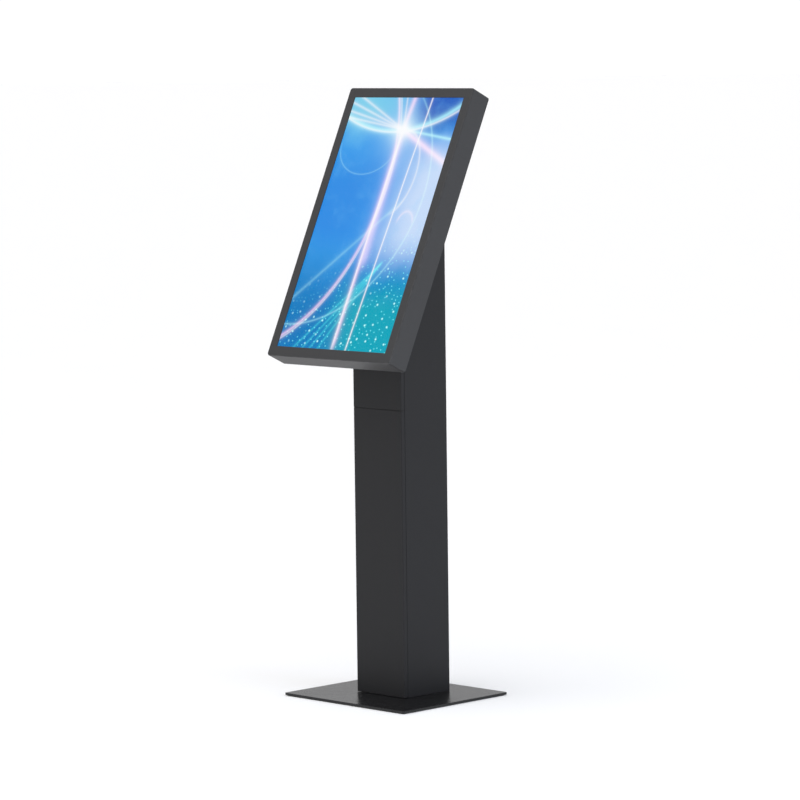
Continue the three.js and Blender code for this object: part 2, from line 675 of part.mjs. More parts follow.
function rearCover() {
  const fit = 2 * (SHEET + GAP);
  const z = (up) => up - HEAD_H / 2;
  const hatch = roundedRectangle(2 * HATCH_HALF, HATCH_H, 3, 0, z(HATCH_MID), THREE.Path);
  const cables = roundedRectangle(CABLE_HOLE_W, CABLE_HOLE_H, 6, 0, z(MOUNT_MID), THREE.Path);
  const bolts = MOUNT_BOLT_PLACES.map(([x, up]) => roundHole(x, z(up), MOUNT_BOLT_R + GAP));
  const fans = [-1, 1].flatMap((s) => slotBank(s * FAN_X, z(HATCH_MID), FAN_SIZE - 8, 6, 9));
  const intake = [-1, 1].flatMap((s) => slotBank(s * FAN_X, z(150), FAN_SIZE - 8, 9, 12));
  const sound = [-1, 1].flatMap((s) => slotBank(s * SPEAKER_X, z(SPEAKER_UP), SPEAKER_W - 34, 4, 9));
  const outline = roundedRectangle(HEAD_W - fit, HEAD_H - fit, HEAD_CORNER_R - SHEET - GAP);
  return upright(outline, SHEET, [hatch, cables, ...bolts, ...fans, ...intake, ...sound]);
}

// An open channel from the chassis to the rear cover. The mounting bolts go through its back.
function rail() {
  const [half, deep] = [RAIL_W / 2, COVER_Y - BAY_Y - GAP];
  const plan = polygon([
    [-half, 0],
    [-half, deep],
    [half, deep],
    [half, 0],
    [half - SHEET, 0],
    [half - SHEET, deep - SHEET],
    [-half + SHEET, deep - SHEET],
    [-half + SHEET, 0],
  ]);
  const channel = raised(plan, HATCH_LOW - 12 - RAIL_LOW);
  const drill = rod(MOUNT_BOLT_R + GAP, [deep - 6, deep + 2], 12);
  const drills = MOUNT_BOLT_ROWS.map((up) => drill.clone().translate(0, 0, up - RAIL_LOW));
  return cut(channel, ...drills);
}

function mountPlate() {
  const height = MOUNT_TOP - MOUNT_LOW;
  const cables = roundedRectangle(CABLE_HOLE_W, CABLE_HOLE_H, 6, 0, 0, THREE.Path);
  const bolts = MOUNT_BOLT_PLACES.map(([x, up]) => roundHole(x, up - MOUNT_MID, MOUNT_BOLT_R + GAP));
  return upright(roundedRectangle(2 * INNER_X, height, 1), MOUNT_PLATE_T, [cables, ...bolts]);
}

function speaker() {
  const cabinet = span(middle(SPEAKER_W / 2), [0, SPEAKER_T], middle(SPEAKER_H / 2));
  const cone = turned([
    [0, SPEAKER_T - 7],
    [6, SPEAKER_T - 7],
    [17, SPEAKER_T + 1],
    [0, SPEAKER_T + 1],
  ]);
  return cut(cabinet, cone);
}

// The display's driver board with its heat sink, connectors and capacitors, lying in x and z.
function driverBoard() {
  const board = span(middle(BOARD_W / 2), [0, 1.6], middle(BOARD_H / 2));
  const sink = [-12, -6, 0, 6, 12].map((x) => span([x - 1.5, x + 1.5], [1, 11], [10, 46]));
  const sockets = [-30, -8, 14].map((z) => span([BOARD_W / 2 - 14, BOARD_W / 2], [1, 9], [z - 7, z + 7]));
  const cans = [-28, -14, 0].map((x) => rod(5, [1, 13], 12).translate(x, 0, -56));
  return join(board, span([-16, 16], [1, 4], [8, 48]), ...sink, ...sockets, ...cans);
}

function mediaPlayer() {
  const body = upright(roundedRectangle(PLAYER_W, PLAYER_H, 8), PLAYER_T);
  const grooveDepth = [PLAYER_T - 1.5, PLAYER_T + 1];
  const grooves = [-40, -20, 0, 20, 40].map((x) => span([x - 3, x + 3], grooveDepth, middle(40)));
  return cut(body, ...grooves);
}

// A square axial fan: the frame holds a hub plate on four struts, and the rotor turns behind it.
const FAN = {
  ringR: FAN_SIZE / 2 - 2.5,
  bladeR: FAN_SIZE / 2 - 4,
  hubR: 12,
  strutT: 2,
  blades: 7,
};

function fanFrame() {
  const ring = upright(roundedRectangle(FAN_SIZE, FAN_SIZE, 4), FAN_T, [roundHole(0, 0, FAN.ringR, 28)]);
  const strut = span(middle(FAN.ringR + 1), [0, FAN.strutT], middle(1.5));
  const struts = [strut, strut.clone().rotateY(Math.PI / 2)];
  return join(ring, rod(FAN.hubR, [0, FAN.strutT], 20), ...struts);
}

function fanRotor() {
  const low = FAN.strutT + 2 * GAP;
  const high = FAN_T - 1;
  const mid = (low + high) / 2;
  const blades = Array.from({ length: FAN.blades }, (_, i) => {
    const blade = new THREE.BoxGeometry(FAN.bladeR - FAN.hubR + 1, 1.2, 13);
    blade.rotateX(THREE.MathUtils.degToRad(52)).translate((FAN.bladeR + FAN.hubR - 1) / 2, mid, 0);
    return blade.rotateY((i * 2 * Math.PI) / FAN.blades);
  });
  return join(rod(FAN.hubR, [low, high], 20), ...blades);
}

function fan(side) {
  const name = side < 0 ? "left" : "right";
  return group(
    [
      piece(`fan_frame_${name}`, fanFrame(), BLACK_PLASTIC),
      piece(`fan_rotor_${name}`, fanRotor(), BLACK_PLASTIC),
    ],
    [side * FAN_X, COVER_Y - GAP - FAN_T, HATCH_MID],
  );
}

function serviceHatch() {
  const lockHole = roundHole(HATCH_LOCK_X, 0, LOCK_R + GAP, 24);
  const outline = roundedRectangle(2 * HATCH_HALF - 2 * REVEAL, HATCH_H - 2 * REVEAL, 2);
  const hingeAt = [-HATCH_HALF + REVEAL / 2, HEAD_D + GAP + KNUCKLE_R, HATCH_MID];
  const strikeX = HATCH_HALF + REVEAL / 2;
  const strike = span([strikeX, strikeX + 14], [HEAD_D - STRIKE_DEPTH, COVER_Y - GAP], middle(STRIKE_H / 2));
  return group([
    piece("service_hatch", upright(outline, SHEET, [lockHole]), HEAD_PAINT, [0, COVER_Y, HATCH_MID]),
    piece("hatch_strike", strike, BARE_STEEL, [0, 0, HATCH_MID]),
    camLock("hatch_lock", [HATCH_LOCK_X, HEAD_D, HATCH_MID]),
    buttHinge("hatch_hinge", HATCH_H - 2 * HATCH_HINGE_INSET, HATCH_HINGE_LEAF, 5, -1, hingeAt),
  ]);
}

function head() {
  const mid = HEAD_H / 2;
  const sheetOf = (w, h, thickness, radius) => upright(roundedRectangle(w, h, radius), thickness);
  const glass = sheetOf(OPENING_W + 2 * GLASS_LAP, OPENING_H + 2 * GLASS_LAP, GLASS_T, 3);
  const lcd = sheetOf(OPENING_W + 2 * LCD_LAP, OPENING_H + 2 * LCD_LAP, LCD_T, 2);
  const chassis = sheetOf(OPENING_W + 4, OPENING_H + 4, CHASSIS_T, 2);
  const plateY = HEAD_D + 2 * GAP;
  const boltY = plateY + MOUNT_PLATE_T + GAP;
  const bolt = hexBolt(MOUNT_BOLT_R, MOUNT_BOLT_ACROSS, MOUNT_BOLT_LENGTH);
  const bolts = MOUNT_BOLT_PLACES.map(([x, up], i) =>
    piece(`mount_bolt_${i + 1}`, bolt, BARE_STEEL, [x, boltY, up]),
  );
  const boardX = -(RAIL_X + RAIL_W / 2 + 8 + BOARD_W / 2);
  const speakerY = COVER_Y - GAP - SPEAKER_T;
  const leaning = group(
    [
      piece("front_housing", frontHousing(), HEAD_PAINT, [0, 0, mid]),
      piece("touch_glass", glass, GLASS, [0, GLASS_Y, mid]),
      piece("lcd_panel", lcd, SCREEN, [0, LCD_Y, mid]),
      piece("display_chassis", chassis, BARE_STEEL, [0, CHASSIS_Y, mid]),
      piece("head_rail_left", rail(), BARE_STEEL, [-RAIL_X, BAY_Y, RAIL_LOW]),
      piece("head_rail_right", rail(), BARE_STEEL, [RAIL_X, BAY_Y, RAIL_LOW]),
      piece("head_mount_plate", mountPlate(), BARE_STEEL, [0, plateY, MOUNT_MID]),
      piece("driver_board", driverBoard(), CIRCUIT_GREEN, [boardX, BAY_Y, mid]),
      piece("media_player", mediaPlayer(), BLACK_PLASTIC, [PLAYER_X, BAY_Y, HATCH_MID]),
      piece("speaker_left", speaker(), BLACK_PLASTIC, [-SPEAKER_X, speakerY, SPEAKER_UP]),
      piece("speaker_right", speaker(), BLACK_PLASTIC, [SPEAKER_X, speakerY, SPEAKER_UP]),
      piece("rear_cover", rearCover(), HEAD_PAINT, [0, COVER_Y, mid]),
      ...bolts,
      fan(-1),
      fan(1),
      serviceHatch(),
    ],
    [0, -HEAD_REACH, HEAD_LOW_Z],
  );
  leaning.rotation.x = -TILT;
  return leaning;
}

// ------------------------------------------------------------------------------------------- the kiosk

const kiosk = group([base(), column(), rearDoor(), electrics(), head()]);

export default kiosk;
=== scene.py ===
"""A free-standing touchscreen kiosk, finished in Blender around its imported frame. Everything is in metres.

Upright pieces are drawn in the kiosk's own frame. The head's pieces are drawn in the head's frame, where
x runs to the visitor's right, y goes back from the bezel's face and z goes up along it, and HEAD places them.
"""

import json
import math

import bmesh
import bpy
from mathutils import Matrix, Vector

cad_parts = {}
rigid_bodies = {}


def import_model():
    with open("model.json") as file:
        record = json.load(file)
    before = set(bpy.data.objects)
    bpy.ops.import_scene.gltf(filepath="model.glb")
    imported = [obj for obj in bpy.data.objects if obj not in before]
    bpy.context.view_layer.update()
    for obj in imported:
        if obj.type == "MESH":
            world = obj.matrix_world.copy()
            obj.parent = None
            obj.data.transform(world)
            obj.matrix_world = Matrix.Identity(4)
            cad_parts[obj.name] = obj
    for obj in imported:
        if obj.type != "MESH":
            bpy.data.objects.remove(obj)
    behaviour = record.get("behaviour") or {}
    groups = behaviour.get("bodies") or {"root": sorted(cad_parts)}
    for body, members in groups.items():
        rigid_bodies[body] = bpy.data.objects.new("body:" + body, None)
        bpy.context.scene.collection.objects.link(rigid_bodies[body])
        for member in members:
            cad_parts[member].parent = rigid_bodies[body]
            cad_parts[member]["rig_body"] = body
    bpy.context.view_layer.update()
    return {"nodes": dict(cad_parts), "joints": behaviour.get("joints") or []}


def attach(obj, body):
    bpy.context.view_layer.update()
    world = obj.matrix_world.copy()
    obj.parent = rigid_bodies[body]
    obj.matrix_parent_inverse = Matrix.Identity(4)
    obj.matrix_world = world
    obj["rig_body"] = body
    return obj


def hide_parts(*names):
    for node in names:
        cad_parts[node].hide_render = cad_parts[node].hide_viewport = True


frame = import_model()
NODES = frame["nodes"]
JOINTS = {joint["name"]: joint for joint in frame["joints"]}
MM = 0.001

# ---------------------------------------------------------------------------------------------- placing


class Box:
    """The box round a CAD node, in the frame that to_local leads to."""

    def __init__(self, node, to_local=Matrix.Identity(4)):
        points = [to_local @ vertex.co for vertex in NODES[node].data.vertices]
        self.low = Vector(min(point[i] for point in points) for i in range(3))
        self.high = Vector(max(point[i] for point in points) for i in range(3))
        self.mid = (self.low + self.high) / 2
        self.size = self.high - self.low


def head_frame():
    """The head's frame, with its origin in the middle of the head's lower front edge."""
    back = Vector(JOINTS["fan_left_spin"]["axis"])
    up = Vector(JOINTS["hatch_hinge"]["axis"])
    turn = Matrix((Vector((1, 0, 0)), back, up)).transposed().to_4x4()
    low = Box("front_housing", turn.inverted()).low
    return Matrix.Translation(turn @ Vector((0, low.y, low.z))) @ turn


WORLD = Matrix.Identity(4)
HEAD = head_frame()
TO_HEAD = HEAD.inverted()

# How an outline's plane lies: its first and second axes, then the direction of its thickness.
FLAT = Matrix.Identity(4)
UPRIGHT = Matrix(((1, 0, 0, 0), (0, 0, 1, 0), (0, 1, 0, 0), (0, 0, 0, 1)))

# --------------------------------------------------------------------------------------------- outlines


def arc(centre, radius, start, end, steps):
    """Points on an arc, with angles in degrees."""
    angles = [math.radians(start + (end - start) * i / steps) for i in range(steps + 1)]
    return [(centre[0] + radius * math.cos(a), centre[1] + radius * math.sin(a)) for a in angles]


def circle(x, y, radius, steps=32):
    return arc((x, y), radius, 0, 360 - 360 / steps, steps - 1)


def round_box(x, y, width, height, radius, steps=6):
    w, h = width / 2 - radius, height / 2 - radius
    turns = [(w, h, 0), (-w, h, 90), (-w, -h, 180), (w, -h, 270)]
    loop = []
    for dx, dy, start in turns:
        loop += arc((x + dx, y + dy), radius, start, start + 90, steps)
    return loop


def round_slot(x, y, width, height):
    """A level slot with round ends."""
    reach = (width - height) / 2
    return arc((x + reach, y), height / 2, -90, 90, 10) + arc((x - reach, y), height / 2, 90, 270, 10)


def slot_bank(x, y, width, count, pitch, height=4 * MM):
    return [round_slot(x, y + (i - (count - 1) / 2) * pitch, width, height) for i in range(count)]


def filleted(points, steps=5):
    """A closed outline from (x, y, radius) corners, each rounded by an arc that meets both of its sides."""
    loop = []
    for i, (x, y, radius) in enumerate(points):
        here = Vector((x, y))
        before = (Vector(points[i - 1][:2]) - here).normalized()
        after = (Vector(points[(i + 1) % len(points)][:2]) - here).normalized()
        half = before.angle(after) / 2
        if radius <= 0 or half > math.radians(89):
            loop.append((x, y))
            continue
        centre = here + (before + after).normalized() * radius / math.sin(half)
        first = here + before * radius / math.tan(half) - centre
        last = here + after * radius / math.tan(half) - centre
        turn = first.angle_signed(last)
        for step in range(steps + 1):
            spoke = Matrix.Rotation(-turn * step / steps, 2) @ first
            loop.append(tuple(centre + spoke))
    return loop


def area(loop):
    return sum(a[0] * b[1] - b[0] * a[1] for a, b in zip(loop, loop[1:] + loop[:1])) / 2


def inset(loop, distance):
    """The loop moved to its left by a distance, which is inwards where it runs anticlockwise."""
    moved = []
    for i, point in enumerate(loop):
        here = Vector(point)
        into = (here - Vector(loop[i - 1])).normalized()
        out = (Vector(loop[(i + 1) % len(loop)]) - here).normalized()
        left = Vector((-into.y - out.y, into.x + out.x))
        share = 1 + into.dot(out)
        moved.append(tuple(here + left * distance / max(share, 0.2)))
    return moved


# ----------------------------------------------------------------------------------------------- solids


def ring(bm, loop, height):
    return [bm.verts.new((x, y, height)) for x, y in loop]


def bridge(bm, lower, upper):
    for i, _ in enumerate(lower):
        bm.faces.new((lower[i - 1], lower[i], upper[i], upper[i - 1]))


def rim_profile(edge, steps=3):
    """(inset, height) pairs round the edge of a sheet, from its face to its side."""
    turns = [math.pi / 2 * i / steps for i in range(steps + 1)]
    return [(edge * (1 - math.sin(a)), edge * (1 - math.cos(a))) for a in turns]


def tray_side(low, high, wall, bend):
    """The side of a tray whose face is at high and whose open rim is at low."""
    outer = [(away, high - rise) for away, rise in reversed(rim_profile(bend, 5))]
    return [(wall, high - wall), (wall, low), (0, low), *outer]


def slab(bm, loops, low, high, edge, side=None):
    """A plate between two heights, with holes after its outer loop and every rim rounded by edge.
    side is the outer loop's own profile of (inset, height) pairs from the lower face to the upper."""
    caps = {low: [], high: []}
    plain = [(away, low + rise) for away, rise in rim_profile(edge)]
    plain += [(away, high - rise) for away, rise in reversed(rim_profile(edge))]
    for number, loop in enumerate(loops):
        if (area(loop) > 0) != (number == 0):
            loop = loop[::-1]
        profile = side if side and number == 0 else plain
        rings = [ring(bm, inset(loop, away), height) for away, height in profile]
        for lower, upper in zip(rings, rings[1:]):
            bridge(bm, lower, upper)
        caps[low].append(rings[0])
        caps[high].append(rings[-1])
    # The fill drops triangles that are smaller than 0.03 units, so it works in millimetres.
    bmesh.ops.scale(bm, vec=(1 / MM, 1 / MM, 1 / MM), verts=bm.verts)
    for height, outward in ((low, -1), (high, 1)):
        edges = [bm.edges.get((r[i - 1], r[i])) for r in caps[height] for i in range(len(r))]
        bmesh.ops.triangle_fill(bm, use_beauty=True, edges=edges, normal=(0, 0, outward))
    bmesh.ops.scale(bm, vec=(MM, MM, MM), verts=bm.verts)


def sweep(bm, loop_at, profile):
    """A closed ring whose section is a closed profile of (inset, height) pairs.
    loop_at gives the loop of an inset."""
    rings = [ring(bm, loop_at(away), height) for away, height in profile]
    for lower, upper in zip(rings, rings[1:] + rings[:1]):
        bridge(bm, lower, upper)


def lathe(bm, profile, steps=48):
    """A solid of revolution about z, from (radius, height) pairs. A profile that starts off the axis is
    closed from its last pair to its first."""
    rings = []
    for radius, height in profile:
        if radius < 1e-7:
            rings.append([bm.verts.new((0, 0, height))])
        else:
            rings.append(ring(bm, circle(0, 0, radius, steps), height))
    pairs = list(zip(rings, rings[1:]))
    if len(rings[0]) > 1:
        pairs.append((rings[-1], rings[0]))
    for lower, upper in pairs:
        if len(lower) > 1 and len(upper) > 1:
            bridge(bm, lower, upper)
            continue
        tip, base = (lower[0], upper) if len(lower) == 1 else (upper[0], lower)
        for i, _ in enumerate(base):
            bm.faces.new((base[i - 1], base[i], tip))


def finish_mesh(bm, name, matrix=WORLD, sharp=34):
    """The object that holds a finished mesh, smooth except at edges that turn by more than sharp degrees."""
    bmesh.ops.remove_doubles(bm, verts=bm.verts, dist=1e-6)
    bmesh.ops.dissolve_degenerate(bm, edges=bm.edges, dist=1e-6)
    bmesh.ops.delete(bm, geom=[edge for edge in bm.edges if not edge.link_faces], context="EDGES")
    bmesh.ops.recalc_face_normals(bm, faces=bm.faces)
    mesh = bpy.data.meshes.new(name)
    bm.to_mesh(mesh)
    bm.free()
    mesh.shade_smooth()
    mesh.set_sharp_from_angle(angle=math.radians(sharp))
    piece = bpy.data.objects.new(name, mesh)
    bpy.context.scene.collection.objects.link(piece)
    piece.matrix_world = matrix
    shading = piece.modifiers.new("flat_faces", "WEIGHTED_NORMAL")
    shading.keep_sharp = True
    return piece


def plate(name, loops, low, high, edge, lie=FLAT, matrix=WORLD, side=None):
    bm = bmesh.new()
    slab(bm, loops, low, high, edge, side)
    bm.transform(lie)
    return finish_mesh(bm, name, matrix)


def softened(node, edge=0.3 * MM, bend=None, steps=2):
    """A copy of a CAD node's shape with its edges rounded.
    bend(a, b) gives the radius of the edge from a to b, or None where it is a plain one."""
    bm = bmesh.new()
    bm.from_mesh(NODES[node].data)
    bmesh.ops.remove_doubles(bm, verts=bm.verts, dist=2e-6)
    bmesh.ops.dissolve_limit(bm, angle_limit=math.radians(1), verts=bm.verts, edges=bm.edges)
    weight = bm.edges.layers.float.new("bevel_weight_edge")
    radii = {}
    for item in bm.edges:
        if len(item.link_faces) == 2 and item.calc_face_angle() > math.radians(40):
            ends = [vertex.co for vertex in item.verts]
            radii[item] = (bend and bend(*ends)) or edge
    widest = max(radii.values(), default=edge)
    for item, radius in radii.items():
        item[weight] = radius / widest
    piece = finish_mesh(bm, f"{node}_finished", sharp=180)
    bevel = piece.modifiers.new("rounding", "BEVEL")
    bevel.width = widest
    bevel.segments = steps
    bevel.limit_method = "WEIGHT"
    piece.modifiers.move(1, 0)
    return piece


# -------------------------------------------------------------------------------------------- materials


def linear(red, green, blue):
    """A colour given as 8-bit display values, as the shader's linear colour."""
    channels = [value / 255 for value in (red, green, blue)]
    return (*(c / 12.92 if c < 0.04045 else ((c + 0.055) / 1.055) ** 2.4 for c in channels), 1)


class Field:
    """A value that varies over a surface, with arithmetic."""

    def __init__(self, graph, socket):
        self.graph, self.socket = graph, socket

    def math(self, operation, *others):
        node = self.graph.node("Math", dict(enumerate((self, *others))), operation=operation)
        return Field(self.graph, node.outputs[0])

    def __add__(self, other):
        return self.math("ADD", other)

    def __sub__(self, other):
        return self.math("SUBTRACT", other)

    def __mul__(self, other):
        return self.math("MULTIPLY", other)

    def __truediv__(self, other):
        return self.math("DIVIDE", other)

    def __abs__(self):
        return self.math("ABSOLUTE")

    def squared(self):
        return self.math("MULTIPLY", self)

    def step(self, start, end):
        """0 before start, 1 after end, and a smooth rise between them. start may be the larger."""
        inputs = {"Value": self, "From Min": start, "From Max": end}
        node = self.graph.node("MapRange", inputs, interpolation_type="SMOOTHSTEP", clamp=True)
        return Field(self.graph, node.outputs[0])


class Graph:
    """A material's nodes, with one Principled shader."""

    def __init__(self, name):
        self.material = bpy.data.materials.new(name)
        self.material.use_nodes = True
        self.tree = self.material.node_tree
        self.shader = self.tree.nodes["Principled BSDF"]

    def feed(self, socket, value):
        if isinstance(value, Field):
            self.tree.links.new(value.socket, socket)
        else:
            socket.default_value = value

    def node(self, kind, inputs, **settings):
        made = self.tree.nodes.new(f"ShaderNode{kind}")
        for name, value in settings.items():
            setattr(made, name, value)
        for socket, value in inputs.items():
            self.feed(made.inputs[socket], value)
        return made

    def set(self, **inputs):
        for name, value in inputs.items():
            self.feed(self.shader.inputs[name.replace("_", " ")], value)

    def place(self):
        return Field(self, self.node("TexCoord", {}).outputs["Object"])

    def axes(self):
        parts = self.node("SeparateXYZ", {0: self.place()})
        return [Field(self, output) for output in parts.outputs]

    def noise(self, scale, detail=2, stretch=(1, 1, 1), rough=0.5):
        spot = self.node("Mapping", {"Vector": self.place(), "Scale": stretch})
        inputs = {"Vector": Field(self, spot.outputs[0]), "Scale": scale}
        inputs.update({"Detail": detail, "Roughness": rough})
        return Field(self, self.node("TexNoise", inputs).outputs[0])

    def mix(self, factor, first, second, blend="MIX"):
        inputs = {0: factor, 6: first, 7: second}
        node = self.node("Mix", inputs, data_type="RGBA", blend_type=blend)
        return Field(self, node.outputs[2])

    def bump(self, height, depth, strength=1.0):
        inputs = {"Height": height, "Distance": depth, "Strength": strength}
        self.set(Normal=Field(self, self.node("Bump", inputs).outputs[0]))


def tone(colour, share):
    return (*(min(c * share, 1) for c in colour[:3]), 1)


def powder_coat(name, colour, roughness, shine, handled):
    """Baked-on powder paint: a slight mottle, a fine orange-peel grain, and edges polished by handling.
    handled(x, y, z) is 1 where the paint is worn and 0 where it is as new."""
    graph = Graph(name)
    cloud = graph.noise(7, 4)
    peel = graph.noise(750, 2)
    grain = graph.noise(2400, 1)
    flat = graph.mix(cloud, tone(colour, 0.93), tone(colour, 1.07))
    flecked = graph.mix(grain.step(0.62, 0.75) * 0.35, flat, tone(colour, 1.9))
    gloss = peel * 0.14 + cloud * 0.04 + (roughness - 0.09)
    scuff = handled(*graph.axes()) * graph.noise(40, 3).step(0.42, 0.62)
    graph.set(Base_Color=graph.mix(scuff * 0.6, flecked, tone(colour, 2.2)))
    graph.set(Roughness=gloss - scuff * 0.14, Specular_IOR_Level=shine)
    graph.bump(peel * 0.6 + grain * 0.4, 0.16 * MM, 0.6)
    return graph.material


def zinc_plate():
    graph = Graph("zinc_plate")
    bloom = graph.noise(60, 5, rough=0.7)
    rolled = graph.noise(300, 2, stretch=(1, 1, 0.04))
    silver = linear(178, 181, 184)
    graph.set(Base_Color=graph.mix(bloom, tone(silver, 0.72), silver), Metallic=1.0)
    graph.set(Roughness=bloom * 0.2 + rolled * 0.14 + 0.2)
    graph.bump(rolled, 0.05 * MM, 0.4)
    return graph.material


def chrome():
    graph = Graph("polished_chrome")
    hair = graph.noise(900, 2, stretch=(1, 0.08, 1))
    graph.set(Base_Color=graph.mix(hair, linear(205, 207, 211), linear(226, 228, 231)), Metallic=1.0)
    graph.set(Roughness=hair * 0.1 + 0.07)
    return graph.material


def moulded_plastic(name, colour, roughness=0.5):
    graph = Graph(name)
    spark = graph.noise(1500, 2)
    cloud = graph.noise(30, 3)
    graph.set(Base_Color=graph.mix(cloud, tone(colour, 0.8), tone(colour, 1.2)))
    graph.set(Roughness=spark * 0.14 + (roughness - 0.07))
    graph.bump(spark, 0.06 * MM, 0.5)
    return graph.material


def ribbed_rubber():
    graph = Graph("ribbed_rubber")
    across = graph.axes()[0]
    ribs = abs((across / (3 * MM)).math("FRACT") - 0.5).step(0.1, 0.35)
    dust = graph.noise(90, 4)
    graph.set(Base_Color=graph.mix(dust, linear(24, 24, 25), linear(44, 44, 45)))
    graph.set(Roughness=dust * 0.1 + 0.8)
    graph.bump(ribs, 0.4 * MM, 0.8)
    return graph.material


def circuit_board():
    graph = Graph("circuit_board")
    tracks = graph.noise(180, 1, stretch=(1, 0.3, 4)).step(0.5, 0.53)
    graph.set(Base_Color=graph.mix(tracks, linear(16, 66, 38), linear(34, 104, 62)))
    graph.set(Roughness=tracks * 0.15 + 0.3)
    graph.bump(tracks, 0.04 * MM)
    return graph.material


def cover_glass():
    graph = Graph("cover_glass")
    smear = graph.noise(14, 4)
    graph.set(Base_Color=(0.97, 0.985, 1.0, 1), Transmission_Weight=1.0, IOR=1.18)
    graph.set(Roughness=smear * 0.02 + 0.002)
    return graph.material


# ------------------------------------------------------------------------------------------ the picture


class Picture:
    """An abstract of light streaks on a blue ground.
    Lengths are in screen widths, from the middle of its foot."""

    def __init__(self, width, foot):
        self.graph = Graph("display_picture")
        x, _, z = self.graph.axes()
        self.x = x / width
        self.y = (z - foot) / width
        self.light = None

    def ground(self, height):
        """Azure, pale at the right and the top left, teal at the foot and deep blue at the top right."""
        graph = self.graph
        cloud = graph.noise(5, 5, stretch=(1, 1, 0.6)) - 0.5
        rise = self.y / height + cloud * 0.2
        side = self.x + cloud * 0.35
        colour = graph.mix(rise.step(0.08, 0.52), linear(0, 122, 190), linear(52, 156, 236))
        dusk = side.step(0.15, -0.3) * rise.step(0.35, 0.5) * rise.step(0.85, 0.65)
        colour = graph.mix(dusk * 0.7, colour, linear(40, 134, 226))
        haze = side.step(-0.08, 0.4) * rise.step(0.26, 0.48) * rise.step(0.92, 0.68)
        colour = graph.mix(haze * 0.95, colour, linear(208, 226, 252))
        left_glow = side.step(0.2, -0.3) * rise.step(0.8, 0.98)
        colour = graph.mix(left_glow * 0.85, colour, linear(128, 214, 236))
        deep = side.step(0.02, 0.2) * rise.step(0.82, 0.95)
        colour = graph.mix(deep, colour, linear(0, 84, 190))
        corner = side.step(-0.25, 0.15) * rise.step(0.36, 0.14)
        colour = graph.mix(corner, colour, linear(0, 166, 188))
        mottle = graph.noise(16, 6, rough=0.65).step(0.45, 0.75)
        self.light = graph.mix(mottle * rise.step(0.0, 0.5) * 0.18, colour, linear(120, 205, 250))

    def add(self, strength, colour):
        self.light = self.graph.mix(strength, self.light, colour, "SCREEN")

    def glow(self, distance, width, power=1.0):
        """A bright core that fades with distance."""
        near = (distance / width).squared() + 1
        return (near.math("POWER", -1.6)) * power

    def streak(self, start, end, width, colour, power=1.0):
        """A straight beam from one point to another."""
        a, b = Vector(start), Vector(end)
        along = (b - a).normalized()
        dx, dy = self.x - a.x, self.y - a.y
        run = dx * along.x + dy * along.y
        off = dx * along.y - dy * along.x
        length = (b - a).length
        fade = run.step(-0.04, 0.02) * run.step(length + 0.05, length - 0.1)
        self.add(self.glow(off, width, power) * fade, colour)

    def loop(self, centre, radius, width, colour, power, squeeze=1.0, side=(0, 1)):
        """An arc of an ellipse, on the side of its centre that side points to."""
        dx, dy = self.x - centre[0], (self.y - centre[1]) / squeeze
        reach = (dx.squared() + dy.squared()).math("SQRT")
        ahead = (dx * side[0] + dy * side[1]) / radius
        self.add(self.glow(reach - radius, width, power) * ahead.step(-0.1, 0.5), colour)

    def flare(self, centre, size, colour, power):
        dx, dy = self.x - centre[0], self.y - centre[1]
        self.add(self.glow((dx.squared() + dy.squared()).math("SQRT"), size, power), colour)

    def sparkle(self, scale, size, colour):
        """Scattered points of light, thickest near the foot on the right."""
        graph = self.graph
        spread = graph.node("CombineXYZ", {0: self.x, 1: self.y})
        inputs = {"Vector": Field(graph, spread.outputs[0]), "Scale": scale}
        cells = graph.node("TexVoronoi", inputs, voronoi_dimensions="2D")
        lit = Field(graph, cells.outputs["Distance"]).step(size, size * 0.35)
        tint = graph.node("SeparateColor", {0: Field(graph, cells.outputs["Color"])})
        chosen = Field(graph, tint.outputs[0]).step(0.45, 0.6)
        area_lit = (self.x * 0.6 - self.y).step(-0.85, -0.15)
        self.add(lit * chosen * area_lit, colour)

    def shown(self, brightness):
        graph = self.graph
        graph.set(Base_Color=(0.003, 0.003, 0.004, 1), Roughness=graph.noise(400) * 0.1 + 0.3)
        graph.set(Specular_IOR_Level=0.02, Emission_Color=self.light, Emission_Strength=brightness)
        return graph.material


